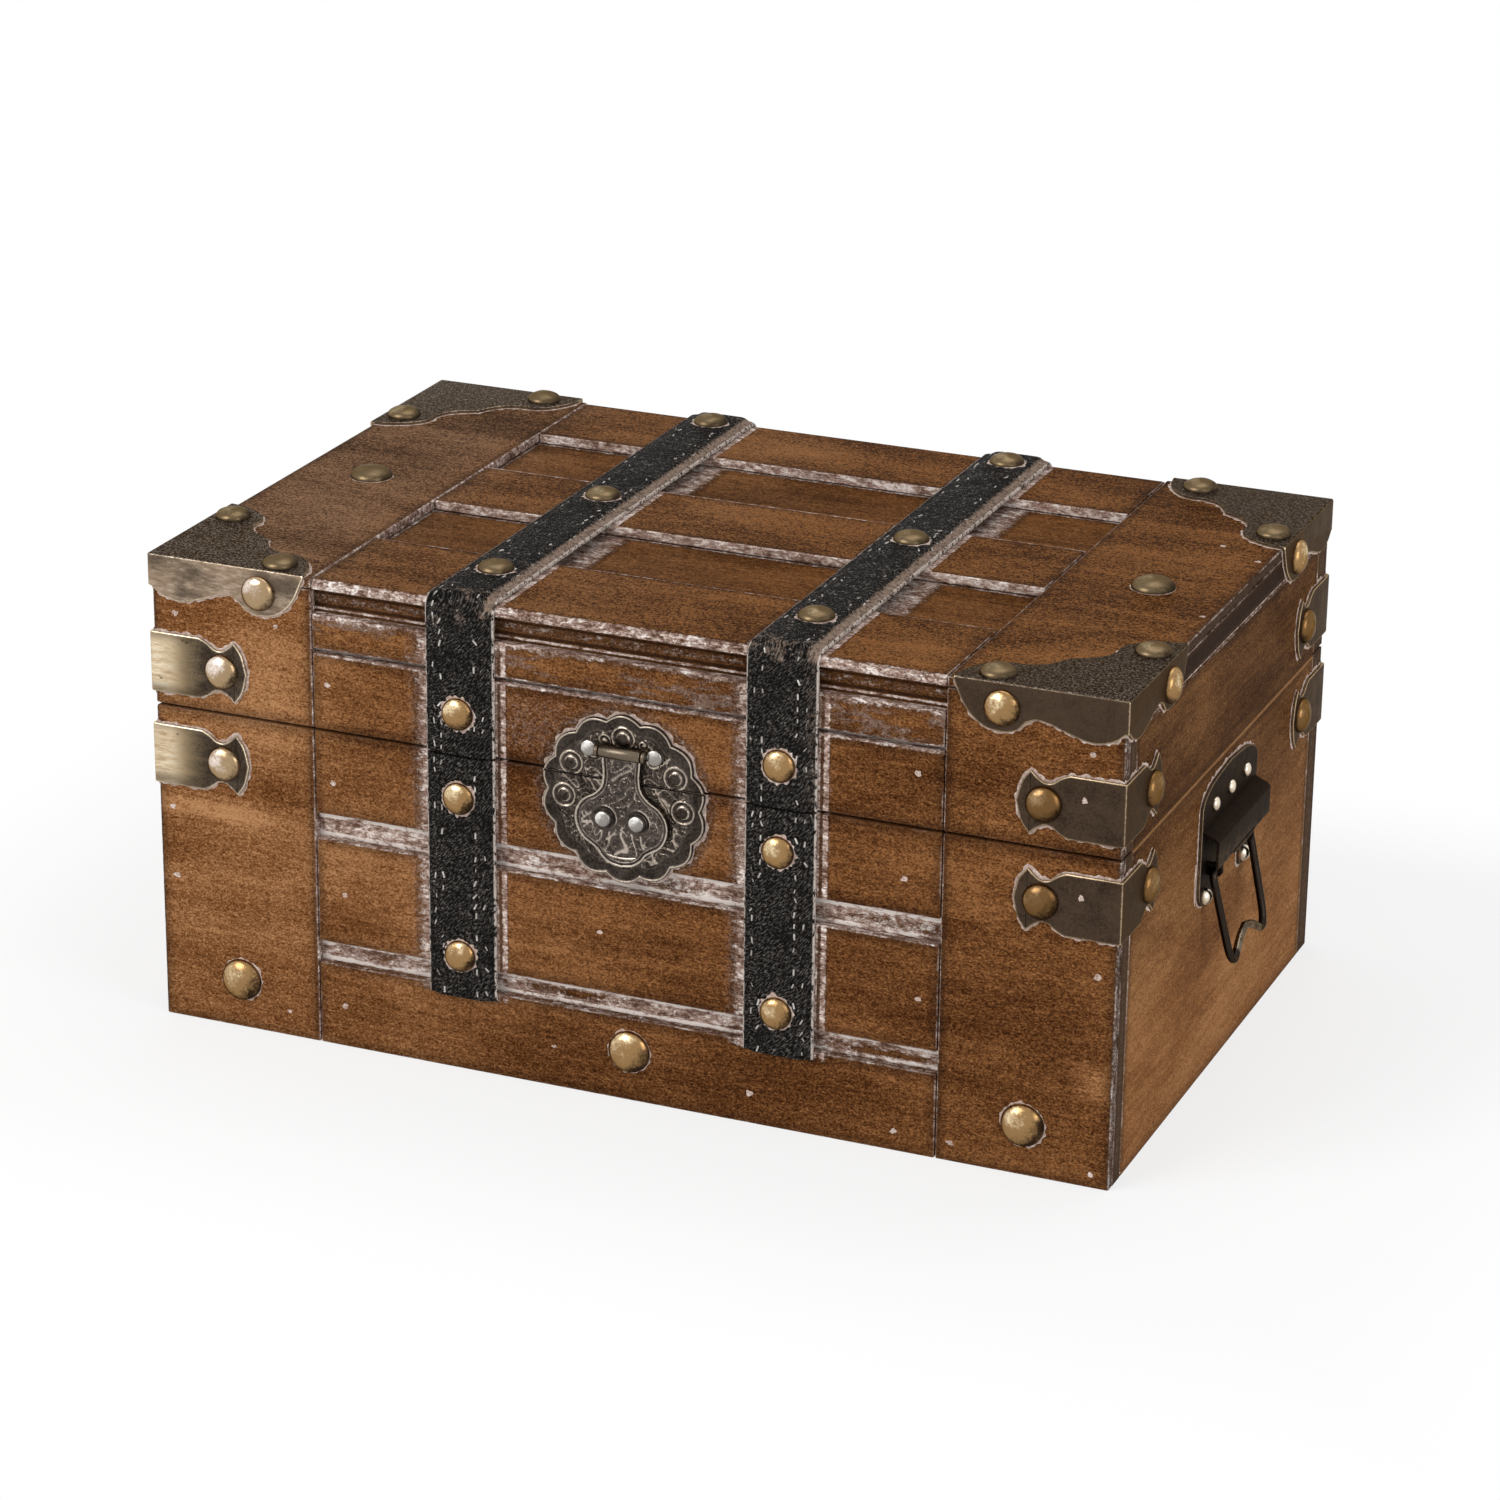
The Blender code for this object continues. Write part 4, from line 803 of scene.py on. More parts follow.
def groove_marks(finish, x, y, z):
    """The front wall is washed where the grooves show it: caked rims, wiped between, with painted
    shade.
    """
    face = finish.step(y, WALL_FRONT + 0.5, WALL_FRONT + 0.2)
    inside = finish.step(abs(x), SIDE - 1.0, SIDE - 2.0)
    worn_through = finish.noise((0.06, 0.25, 0.25), 3.0, 0.6, shift=15.0)
    patches = finish.noise((0.035, 0.12, 0.12), 3.0, 0.6, shift=21.0)
    wiped = finish.bands(z, *GROOVE_MIDDLES) * finish.step(patches, 0.40, 0.56)
    wiped = wiped * (1 - strap_haze(finish, x, 26.0) * 2.4)
    wiped = wiped * (finish.step(x, -75.0, -35.0) * 0.8 + 0.2)
    caked = (worn_through * (finish.bands(z, *GROOVE_RIMS) + 0.9)
             + finish.near(z, LID_GROOVE, 4.0) * 0.35 - wiped * 0.75 + 0.40)
    return face * inside * caked, wiped * 0.25


def side_marks(finish, x, y, z):
    """An end wall: wash at the back edge, a broken line beside the front boards, painted shade before
    it.
    """
    line = finish.near(y, FRONT + 9.8, 0.8) * 0.62 * finish.step(z, 78.0, 70.0)
    back = finish.step(y, BACK - 6.0, BACK - 0.5) * finish.near(z, 62.0, 38.0) * 0.5
    return line | back, finish.step(y, FRONT + 9.6, FRONT + 8.4) * 0.5


def panel_marks(finish, x, y, z):
    """The lid's panel: pale bands and painted shadow lines under the nose, painted shade on its ends,
    and wash at the recesses' edges.
    """
    face = finish.step(y, WALL_FRONT + 0.5, WALL_FRONT + 0.2)
    pale = face * finish.bands(z, (142.2, 0.5, 1.0), (136.4, 0.6, 1.0), (139.6, 1.9, 0.36))
    # Painted shadow lines: under the top slat, and just above the front slat.
    dark = face * finish.bands(z, (137.6, 0.9, 0.85), (141.2, 0.5, 0.85))
    above = finish.step(z, PANEL_TOP - 0.5, PANEL_TOP - 0.2)
    rims = [strap_bands(finish, x, 3.4, 9.0, 0.0) * 0.85]
    for place, width in zip(SLAT_BACK_EDGES, (1.1, 1.8, 1.1, 1.8)):
        rims.append(finish.step(abs(y - place), width, 0.2) * 0.62)
    rims.append(finish.step(abs(abs(x) - INNER_EDGE), 1.5, 0.2) * 0.65)
    end = finish.step(abs(x), SIDE - 0.9, SIDE - 0.4)
    dots = end * finish.near(z, 135.2, 0.5) * 0.7
    return pale | (above * reduce(or_, rims)) | dots, dark | (end * finish.near(z, 139.0, 5.5) * 0.8)


print("marks in", len(GROOVE_MIDDLES), "grooves")


# %% Walls, panel and floor
def inside_by(low, high, sign, axis):
    """Depth below a wall's outer face, less most of its thickness."""
    outer = high[axis] if sign > 0 else low[axis]
    return lambda *place: ((outer - place[axis]) * sign) - ((high - low)[axis] - 0.6)


def dress_wall(node, tones, blend, inner=None, marks=None, along="x"):
    """Replace a wall of the frame by a rounded board; inner is its outward sign and axis."""
    low, high = corners(node)
    inner = inside_by(low, high, *inner) if inner else None
    finish = wood(node, (low, high), tones, blend, marks, along, 0.8, inner)
    bm = fresh()
    add_part(bm, board_mesh(low, high, 0.35))
    finish_piece(node, bm, [finish], soften=True)


for level in ("base", "lid"):
    for side, sign in SIDES:
        dress_wall(f"{level}_{side}_wall", SIDE_TONES, up_side, (sign, 0), side_marks, "y")
    dress_wall(level + "_back_wall", SIDE_TONES, up_side, (1, 1))
    dress_wall(level + "_front_wall", FRONT_TONES, along_front, (-1, 1), groove_marks)
dress_wall("lid_top_panel", TOP_TONES, along_front, (1, 2), panel_marks)
dress_wall("base_floor", (BARE, BARE), along_front)
print("walls:", len(ALL), "pieces")

# %% [markdown]
# ## Raised boards
#
# The relief of the front and the top comes from a second layer of thin boards. The upper slat
# of the lid's front was washed and hardly wiped, so it stays hazy. The top's front and back
# slats end in a rounded nose that collected wash; the nose is a wider bevel on one edge, made
# before the other edges are softened. Five of the boards carry a large brass nail, which is part
# of the same piece in the frame, so it is made with them.

# %% Marks on the raised boards
def hazy_slat_marks(finish, x, y, z):
    """The lid's upper slat: wash that fades downwards."""
    white, painted_shade, film = slat_marks(finish, x, y, z)
    low, high = corners("lid_front_slat_upper")
    clouds = finish.noise((0.05, 0.2, 0.2), 4.0, 0.7, 0.5, shift=11.0)
    haze = finish.step(clouds, 0.38, 0.64) * 0.30 + finish.step(z, high.z - 2.6, high.z) * 0.6
    film = film | (finish.step(clouds, 0.40, 0.62) * 0.42)
    return white | haze | (finish.near(z, low.z, 0.9) * 0.6), painted_shade, film


def end_board_marks(finish, x, y, z):
    """An end board: broken lines of wash down both of its long edges, and painted shade near its
    inner edge.
    """
    return (finish.bands(abs(x), (INNER_EDGE, 0.6, 0.62), (SIDE, 0.9, 0.42)),
            finish.near(abs(x), INNER_EDGE + 1.0, 0.9) * 0.55)


def nose_marks(finish, x, y, z):
    """The nose is washed white, the recess side has a soft band, and a painted shadow lies under the
    nose.
    """
    low = corners("lid_top_slat_back")[0]
    nose = finish.step(abs(y), BACK - 2.3, BACK - 0.9) * 0.72
    # A painted shadow line under the nose.
    under = finish.near(z, TOP - 2.5, 0.5) * finish.step(abs(y), BACK - 0.6, BACK - 0.1) * 0.9
    side = finish.step(y, low.y + 0.5, low.y + 0.1) * finish.step(y, low.y - 1.0, low.y - 0.5)
    joint = finish.near(y, SLAT_BACK_EDGES[0], 1.1) * 0.75
    return nose | side | joint | strap_bands(finish, x, 2.4, 1.7, 0.8), under


def middle_marks(finish, x, y, z):
    """The middle slat has bands along both of its edges, and painted shade near its back edge."""
    low, high = corners("lid_top_slat_middle")
    edges = finish.bands(y, (low.y, 0.6, 1.0), (high.y, 1.3, 1.0))
    return edges | strap_bands(finish, x, 2.4, 1.7, 0.8), finish.near(y, high.y, 2.6) * 0.15


def top_end_marks(finish, x, y, z):
    """The end boards of the top have a worn inner edge, with a band of painted shade beside it."""
    return (finish.near(abs(x), INNER_EDGE, 0.8) * 0.7,
            finish.near(abs(x), INNER_EDGE + 1.4, 1.0) * 0.4)


RAISED = {
    "base_front_end_board_left": (end_board_marks, (-124.0, 15.7),
                                  [(-145.7, 67.9), (-145.2, 45.8), (-108.2, 8.1)]),
    "lid_front_end_board_left": (end_board_marks, None, [(-142.7, 129.2), (-109.4, 129.7)]),
    "base_front_end_board_right": (end_board_marks, (124.0, 15.7),
                                   [(102.5, 5.8), (144.5, 4.1), (144.5, 64.4)]),
    "lid_front_end_board_right": (end_board_marks, None, [(140.6, 129.7)]),
    "base_front_slat_lower": (slat_marks, (3.0, 15.7),
                              [(-89.3, 13.2), (-21.1, 12.8), (40.7, 9.6), (85.2, 6.2)]),
    "base_front_slat_middle": (slat_marks, None, [(-88.8, 49.0), (-6.3, 51.7), (91.8, 48.4)]),
    "base_front_slat_upper": (slat_marks, None, [(-91.9, 83.9), (87.0, 84.1)]),
    "lid_front_slat_lower": (slat_marks, None, [(-93.2, 114.3), (90.1, 116.3)]),
    "lid_front_slat_upper": (hazy_slat_marks, None, []),
    "lid_top_end_board_left": (top_end_marks, (-126.0, -2.0), []),
    "lid_top_end_board_right": (top_end_marks, (126.0, -2.0),
                                [(133.0, 42.3), (146.8, 32.5), (146.6, -20.3)]),
    "lid_top_slat_front": (nose_marks, None, []),
    "lid_top_slat_middle": (middle_marks, None, []),
    "lid_top_slat_back": (nose_marks, None, [])}
print("raised boards:", len(RAISED))

# %% Raised boards, with their large nails and flakes
NOSE, LARGE_TACK = 2.2, 6.5
ON_TOP = ((0, 0, 1), (0, 1, 0), TOP_TONES, TOP_BRASS, 0.4, 0.8, 1.7)
ON_FRONT = ((0, -1, 0), (0, 0, 1), FRONT_TONES, BRASS, 0.62, 0.85, 1.0)


def nosed_board(low, high, nose):
    """A board whose upper edge at y = nose is rounded wide."""
    bm = cube(low, high)
    front = [edge for edge in bm.edges if all(abs(v.co.y - nose) < 0.1 and abs(v.co.z - TOP) < 0.1
                                              for v in edge.verts)]
    bevelled(bm, front, NOSE, 8)
    rest = [edge for edge in bm.edges if edge.calc_face_angle(0.0) > 1.0]
    return bevelled(bm, rest, 0.4, 2, clamp_overlap=True)


def dress_raised(node, marks, nail, flakes):
    """Replace a raised board, with its nail, if it has one, and its flakes."""
    low, high = corners(node)
    on_top = node.startswith("lid_top")
    if on_top:
        high.z = TOP
    else:
        low.y = FRONT
    out, up, tones, brass, halo, flake, gritty = ON_TOP if on_top else ON_FRONT
    finish = wood(node, (low, high), tones, along_front, marks, gritty=gritty)
    face = plane((1, 0, 0), up, Vector(out) * (TOP if on_top else -FRONT))
    bm = fresh()
    if marks == nose_marks:
        add_part(bm, nosed_board(low, high, FRONT if low.y < 0 else BACK))
    else:
        add_part(bm, board_mesh(low, high, 0.55))
    if nail:
        add_tack(bm, face @ Vector((*nail, 0)), out, LARGE_TACK, 1, 2, halo=halo)
    add_flakes(bm, flakes, face, 2, flake)
    finish_piece(node, bm, [finish, brass, CHALK], soften=True)


for node, (marks, nail, flakes) in RAISED.items():
    dress_raised(node, marks, nail, flakes)
print("boards done:", len(ALL), "pieces")

# %% [markdown]
# ## Leather
#
# The straps are black leather with a padded middle. Its grain is made of short slanting strokes:
# a noise that is stretched along one diagonal, laid out on two slanting coordinates, and its
# light strokes are painted glints. Dust and wash stay on the strap's margins and in a pore here
# and there; the right margins also carry a painted sheen, and a few creases carry painted glints.

# %% Black leather
def leather():
    """Dyed leather: slanting grain with painted glints, margins with dust and painted sheen, ragged,
    washed edges.
    """
    finish = Finish("black_leather", gloss=0.004)
    x, y, z = finish.axes()
    slant = finish.node("CombineXYZ", sockets={0: (x + z - y) * 0.50, 1: (x - z + y) * 1.8})
    strokes = finish.node("TexNoise", sockets={"Vector": slant, "Scale": 1.0, "Detail": 3.0,
                                               "Roughness": 0.7})
    wear = finish.noise(0.12, 4.0, 0.65, shift=4.0)
    fleck = finish.noise((1.0, 0.8, 0.6), 3.0, 0.7, shift=9.0)
    folds = finish.noise((0.26, 0.30, 0.30), 3.0, 0.6, 0.9, shift=14.0)
    on_top = finish.step(z, TOP - 4.0, TOP)
    bend = finish.near(abs(y), BACK, 10.0) * finish.near(z, TOP, 12.0)
    # Painted sheen with dust: the straps' right margins, where the padded middle slopes off, are
    # lighter than the left ones.
    margin_dust_and_sheen = (finish.near(abs(x - 9.3), STRAP_X, 3.0) * 0.75
              | (finish.near(abs(x + 9.3), STRAP_X, 2.4) * 0.25)) * on_top
    # More painted sheen and dust on the right strap's right margin, from the lid's front up.
    right = finish.step(x, STRAP_X + 4.5, STRAP_X + 9.5) * finish.step(z, 95.0, 105.0) * 0.40
    dust_and_sheen = margin_dust_and_sheen | right | (bend * finish.step(wear, 0.42, 0.60) * 0.55)
    # Painted glints: the light strokes on the grain's ridges, fewer on the top.
    grain = (finish.step(strokes, 0.50, 0.66) * (finish.step(wear, 0.30, 0.62) * 0.7 + 0.3)
             * (1 - on_top * 0.35))
    colour = finish.mix(grain, (0.0065, 0.0060, 0.0056), (0.170, 0.155, 0.142))
    patchy_dust_and_sheen = finish.step(dust_and_sheen + (fleck - 0.5) * 1.6 + (strokes - 0.5) * 1.2, 0.25, 0.95)
    colour = finish.mix(patchy_dust_and_sheen * dust_and_sheen, colour, (0.38, 0.27, 0.205))
    # Painted glints along a few creases, stronger on the top.
    glinting_crease = finish.step(abs(folds - 0.5), 0.016, 0.003) * finish.step(fleck, 0.46, 0.58)
    colour = finish.mix(glinting_crease * (on_top * 0.5 + 0.25), colour, (0.42, 0.36, 0.32))
    edge = finish.near(abs(abs(x) - STRAP_X), STRAP_HALF, 0.6) * finish.step(fleck, 0.42, 0.52)
    specks = finish.step(fleck, 0.66, 0.70) * finish.step(wear, 0.46, 0.56)
    pale = (edge * 0.9) | (specks * 0.8)
    colour = finish.mix(pale, colour, (0.66, 0.58, 0.52))
    height = strokes * 0.8 + folds * 1.6 + glinting_crease * 0.4
    return finish.done(colour, 0.42 + (dust_and_sheen | pale) * 0.25, height, 0.36)


LEATHER = leather()
THREAD = chalk("waxed_thread", (0.12, 0.105, 0.095), (0.46, 0.425, 0.39), (0.86, 0.83, 0.79))
print("leather:", LEATHER.name, "and", THREAD.name)

# %% [markdown]
# ## Straps
#
# A strap is one cross-section carried along a path. The section is filled once, extruded up the
# front, spun a quarter turn round the lid's edge, extruded across the top, spun again and
# extruded down the back: the same steps a hand would take in Edit Mode. Stitches are tiny
# rounded bars, laid in two rows along each edge of the same path, each of them only a few faces
# because there are hundreds.

# %% Sweep a strap
STRAP_OFF, BEND, CROWN = 0.3, 3.2, 2.4
STRAP_SIDE = [(10.75, 0.0), (10.75, 0.75), (10.45, 1.08), (9.4, 1.35), (8.75, 1.42), (8.1, 1.72),
              (7.2, 2.2), (6.25, 2.4), (3.2, 2.44), (0.0, 2.45)]


def strap_height(u):
    """How far the strap's outer side is out from the box."""
    for (far, low), (near, high) in zip(STRAP_SIDE, STRAP_SIDE[1:]):
        if near <= abs(u) < far:
            return low + (high - low) * (far - abs(u)) / (far - near)
    return 0.0


def strap_mesh(x, start, moves):
    """A strap from its first section at (y, z), extruded by vectors or spun about points."""
    bm = fresh()
    section = [(x + u, v) for u, v in STRAP_SIDE] + [(x - u, v) for u, v in STRAP_SIDE[-2::-1]]
    way = math.copysign(1.0, start[0])
    faces = [bm.faces.new([bm.verts.new((u, start[0] + way * v, start[1])) for u, v in section])]
    for kind, move in moves:
        if kind == "extrude":
            out = bmesh.ops.extrude_face_region(bm, geom=faces)["geom"]
            bmesh.ops.translate(bm, verts=verts_in(out), vec=move)
        else:
            out = bmesh.ops.spin(bm, geom=faces, cent=move, axis=(1, 0, 0), angle=-math.pi / 2,
                                 steps=8, use_duplicate=False)["geom_last"]
        bmesh.ops.delete(bm, geom=faces, context="FACES_ONLY")
        faces = [face for face in out if isinstance(face, bmesh.types.BMFace)]
    bmesh.ops.holes_fill(bm, edges=open_edges(bm), sides=0)
    bmesh.ops.recalc_face_normals(bm, faces=bm.faces)
    return bm


print("strap:", 2 * STRAP_HALF, "mm wide and", round(strap_height(0.0), 2), "mm high")

# %% Stitches along a path
STITCH_ROWS, STITCH_PITCH, STITCH_LENGTH = (-7.9, -5.3, 5.3, 7.9), 3.5, 1.9


def add_stitches(whole, x, stations, finish):
    """Rows of worn stitches; a station is a point on the box, and the way out from it."""
    for y, z, out_y, out_z in stations:
        outward, run = Vector((0, out_y, out_z)), Vector((0, out_z, -out_y))
        for row in STITCH_ROWS:
            chance, other = (noise.noise(Vector((x + row * 1.7 + shift, y * 0.83, z * 0.83)))
                             for shift in (0.0, 40.0))
            if other > -0.02 - 0.16 * out_z - (0.14 if row > 6.0 else 0.0):
                continue
            slope = (strap_height(row - 0.3) - strap_height(row + 0.3)) / 0.6
            lean = Vector((slope, out_y, out_z)).normalized()
            spot = Vector((x + row + chance * 0.7, y, z)) + outward * (strap_height(row) + 0.05)
            spot += run * chance * 2.0
            size = (0.56 + other * 0.5, STITCH_LENGTH * (1.1 + other), 0.34, 1)
            place = (Matrix.Translation(spot)
                     @ Matrix((run.cross(lean), run, lean)).transposed().to_4x4()
                     @ Matrix.Rotation(chance * 1.2, 4, "Z") @ Matrix.Diagonal(size))
            bar = fresh()
            bmesh.ops.create_cube(bar, size=1.0, matrix=place)
            add_part(whole, bevelled(bar, list(bar.edges), 0.10, 1), finish)


def straight(start, end, outward):
    """Stations at the stitch pitch between two points of the box."""
    start, end = Vector(start), Vector(end)
    count = max(1, int((end - start).length / STITCH_PITCH))
    return [(*start.lerp(end, (step + 0.5) / count), *outward) for step in range(count)]


def bent(centre, start, end):
    """Two stations round an edge of the lid."""
    angles = [math.radians(start + (end - start) * part) for part in (0.3, 0.75)]
    return [(centre[0] + BEND * math.cos(a), centre[1] + BEND * math.sin(a), math.cos(a), math.sin(a))
            for a in angles]


print("stitch pitch:", STITCH_PITCH, "mm")

# %% Straps of the lid and of the base
FACE_OFF, TOP_OFF = BACK + STRAP_OFF, TOP + STRAP_OFF
EDGE_Y, EDGE_Z = FACE_OFF - BEND, TOP_OFF - BEND
STRAP_TACK, TOP_TACK, TOP_TACKS = 4.9, 5.4, (-72.5, 2.0, 84.5)
LID_TACK_Z, BASE_TACKS = 112.9, (37.5, 86.9)
BACK_CUT = 3.2


def dress_strap(node, x, bm, stations, tacks):
    """Add the stitches and nails to a strap and finish it."""
    whole = fresh()
    add_part(whole, bm)
    for (y, z), outward, radius in tacks:
        add_tack(whole, Vector((x, y, z)), outward, radius, 4 if outward[2] else 2, 3,
                 halo=0.85, dents=0.20)
    add_stitches(whole, x, stations, 1)
    finish_piece(node, whole, [LEATHER, THREAD, BRASS, CHALK, TOP_BRASS])


for side, sign in SIDES:
    x = sign * STRAP_X
    moves = [("extrude", (0, 0, EDGE_Z - LID_BOTTOM)), ("spin", (x, -EDGE_Y, EDGE_Z)),
             ("extrude", (0, 2 * EDGE_Y, 0)), ("spin", (x, EDGE_Y, EDGE_Z)),
             ("extrude", (0, 0, LID_BOTTOM + BACK_CUT - EDGE_Z))]
    stations = (straight((-FACE_OFF, LID_BOTTOM), (-FACE_OFF, EDGE_Z), (-1, 0))
                + bent((-EDGE_Y, EDGE_Z), 180, 90)
                + straight((-EDGE_Y, TOP_OFF), (EDGE_Y, TOP_OFF), (0, 1))
                + bent((EDGE_Y, EDGE_Z), 90, 0)
                + straight((FACE_OFF, EDGE_Z), (FACE_OFF, LID_BOTTOM + BACK_CUT), (1, 0)))
    tacks = [((y, TOP_OFF + CROWN), (0, 0, 1), TOP_TACK) for y in TOP_TACKS]
    tacks += [((way * (FACE_OFF + CROWN), LID_TACK_Z), (0, way, 0), STRAP_TACK)
              for way in (-1, 1)]
    dress_strap("lid_strap_" + side, x, strap_mesh(x, (-FACE_OFF, LID_BOTTOM), moves), stations,
                tacks)
    for row, way, top in (("front", -1, BASE_TOP), ("back", 1, BASE_TOP - BACK_CUT)):
        foot = (way * FACE_OFF, STRAP_FOOT)
        tacks = [((way * (FACE_OFF + CROWN), z), (0, way, 0), STRAP_TACK) for z in BASE_TACKS]
        dress_strap(f"base_{row}_strap_{side}", x,
                    strap_mesh(x, foot, [("extrude", (0, 0, top - STRAP_FOOT))]),
                    straight(foot, (way * FACE_OFF, top), (way, 0)), tacks)
print("straps done:", len(ALL), "pieces")

# %% [markdown]
# ## Folded sheet: corner caps and brackets
#
# A cap is one sheet folded over three faces. Its flaps are drawn flat, stood on the faces and
# merged along the folds. Then an inset marks a narrow rim as worn and lowers the very edge, so
# that it catches the light like a filed edge, a bevel rounds the folds, and the sheet gets its
# thickness inwards. The cap of the right front corner serves for all four by mirroring.

# %% Fold a sheet
def folded_sheet(flaps, outwards, thickness=SHEET):
    """A sheet from flaps drawn on its outer planes, with rounded folds and a worn rim."""
    planes = [(Vector(out), Vector(out).dot(flap[0])) for flap, out in zip(flaps, outwards)]

    def out_of(vert):
        """The way out of the sheet: along each outer plane that the point lies on."""
        touched = [out for out, level in planes if abs(vert.co.dot(out) - level) < 0.02]
        return sum(touched, Vector())

    bm = fresh()
    for points in flaps:
        bm.faces.new([bm.verts.new(point) for point in points])
    bmesh.ops.remove_doubles(bm, verts=bm.verts, dist=0.01)
    worn = bm.verts.layers.float["worn"]
    for vert in bm.verts:
        vert[worn] = 1.0
    for width in (0.18, 0.42):
        bmesh.ops.inset_region(bm, faces=[face for face in bm.faces if len(face.verts) > 4],
                               thickness=width, use_boundary=True, use_even_offset=True)
    for vert in {vert for face in bm.faces if len(face.verts) > 4 for vert in face.verts}:
        vert[worn] = 0.0
    inward = {vert: out_of(vert) for vert in bm.verts}
    edge = [vert for vert in inward if vert.is_boundary]
    for vert in verts_in(bmesh.ops.extrude_face_region(bm, geom=list(bm.faces))["geom"]):
        vert.co -= out_of(vert) * thickness
    for vert in edge:
        vert.co -= inward[vert] * 0.16
    bmesh.ops.recalc_face_normals(bm, faces=bm.faces)
    folds = [line for line in bm.edges
             if all(inward.get(vert, Vector()).length > 1.2 for vert in line.verts)]
    return bevelled(bm, folds, 0.7, 4)


def cap_top():
    """Drawing of a cap's top flap, from the box's corner along both edges."""
    arm, wide, cusp = 50.0, 15.2, 25.2
    lobe = smooth_curve(scaled([(1, 0), (.972, .41), (.892, .82), (.80, 1), (.70, 1)], arm, wide))
    inner = smooth_curve(scaled([(.70, 1), (.61, 1.14)], arm, wide)
                         + scaled([(1.09, .83), (1, 1)], cusp, cusp))
    half = lobe + inner[1:]
    other = [Vector((v, u)) for u, v in reversed(half)]
    return [Vector((-LAP, -LAP)), Vector((arm, -LAP)), *half, *other[1:], Vector((-LAP, arm))]


def cap_side():
    """Drawing of a cap's front or side flap, along the edge and down."""
    arm, drop = 50.0, 13.4
    corner = smooth_curve(scaled([(0, .67), (.07, .86), (.18, .95), (.30, .86), (.42, .70),
                                  (.51, .64), (.57, .72)], arm, drop))
    lobe = smooth_curve(scaled([(.57, .72), (.63, .94), (.72, 1), (.83, .91), (.93, .56),
                                (1, 0)], arm, drop))
    return [Vector((-LAP, -LAP)), Vector((-LAP, drop * .67)), *corner, *lobe[1:],
            Vector((arm, -LAP))]


def bracket_flap():
    """Drawing of one arm of a bracket: a band, a neck and a flared end."""
    reach, half, neck = 30.8, 9.3, 6.2
    band = smooth_curve(scaled([(.50, 1), (.58, .88)], reach, half)
                        + scaled([(.66, 1.04), (.73, 1), (.80, 1.18)], reach, neck)
                        + scaled([(.87, 1)], reach, half))
    flare = smooth_curve(scaled([(.87, 1), (.95, .62), (1, 0)], reach, half))
    return with_mirror([Vector((-LAP, half)), *band, *flare[1:]], (1, -1))


print("cap flap:", len(cap_top()), "points; bracket arm:", len(bracket_flap()), "points")

# %% [markdown]
# A rim of wash follows each sheet on the wood. It is the sheet's own drawing, pushed outwards by
# an uneven amount, as a slip so thin that only its edge colour shows.

# %% A sheet with its rims of wash
def uneven_rim(outline, seed, low=0.18, high=1.15):
    """The drawing, pushed outwards by a different amount at each point."""
    points = evenly(outline)
    area = sum(a.x * b.y - a.y * b.x for a, b in zip(points, points[1:] + points[:1]))
    turn = 1 if area > 0 else -1
    rim = []
    for before, point, after in zip(points[-1:] + points[:-1], points, points[1:] + points[:1]):
        along = (after - before).normalized()
        amount = noise.noise(Vector((point.x * 0.55, point.y * 0.55, seed))) + 0.5
        reach = low + (high - low) * max(0.0, min(1.0, amount))
        rim.append(point + Vector((along.y, -along.x)) * turn * reach)
    return rim


def clipped(points, left, bottom=-math.inf):
    """The points of a drawing, kept above these limits."""
    return [Vector((max(u, left), max(v, bottom))) for u, v in points]


def mirrored(bm, signs):
    """The right front corner's sheet, turned over to another corner."""
    bmesh.ops.scale(bm, vec=(*signs, 1), verts=bm.verts)
    if signs[0] * signs[1] < 0:
        bmesh.ops.reverse_faces(bm, faces=bm.faces)
    return bm


SHEET_TACK = 5.3
CORNERS = {"front_right": (1, 1), "front_left": (-1, 1), "back_right": (1, -1),
           "back_left": (-1, -1)}
CAP_FACES = [((-1, 0, 0), (0, 1, 0), (0, 0, 1)), ((-1, 0, 0), (0, 0, -1), (0, -1, 0)),
             ((0, 1, 0), (0, 0, -1), (1, 0, 0))]
CAP_TACKS = (((-39.3, 5.8, LAP), (0, 0, 1)), ((-5.8, 39.3, LAP), (0, 0, 1)),
             ((-35.6, -LAP, -6.4), (0, -1, 0)), ((LAP, 35.6, -6.4), (1, 0, 0)))
BRACKET_TACKS = (((-22.7, -LAP, 0), (0, -1, 0)), ((LAP, 22.7, 0), (1, 0, 0)))


def dress_sheet(node, signs, height, drawings, faces, tacks, materials, chip=False):
    """Fold a cap or bracket, and finish it at one corner of the box, maybe with a pale chip."""
    corner = Vector((SIDE, FRONT, height))
    whole = fresh()
    flaps, slips = [], []
    for (drawing, rim), (along, up, out) in zip(drawings, faces):
        outward = Vector(out)
        flaps.append(placed(drawing, plane(along, up, corner + outward * LAP)))
        place = plane(along, up, corner)
        slips.append(slip(rim, place, 0.06 * place.col[2].xyz.dot(outward)))
    add_part(whole, mirrored(folded_sheet(flaps, [face[2] for face in faces]), signs))
    for part in slips:
        bmesh.ops.dissolve_degenerate(part, dist=0.01, edges=part.edges)
        add_part(whole, mirrored(part, signs), 2)
    flip = Vector((*signs, 1))
    for offset, out in tacks:
        add_tack(whole, (corner + Vector(offset)) * flip, Vector(out) * flip, SHEET_TACK,
                 3 if out[2] else 1, dents=0.16)
    if chip:
        front = plane((1, 0, 0), (0, 0, 1), (0, FRONT - LAP, 0))
        add_flakes(whole, [(139.0, height + 2.9)], front, 2, 0.9)
    finish_piece(node, whole, materials)


print("corners:", ", ".join(CORNERS))

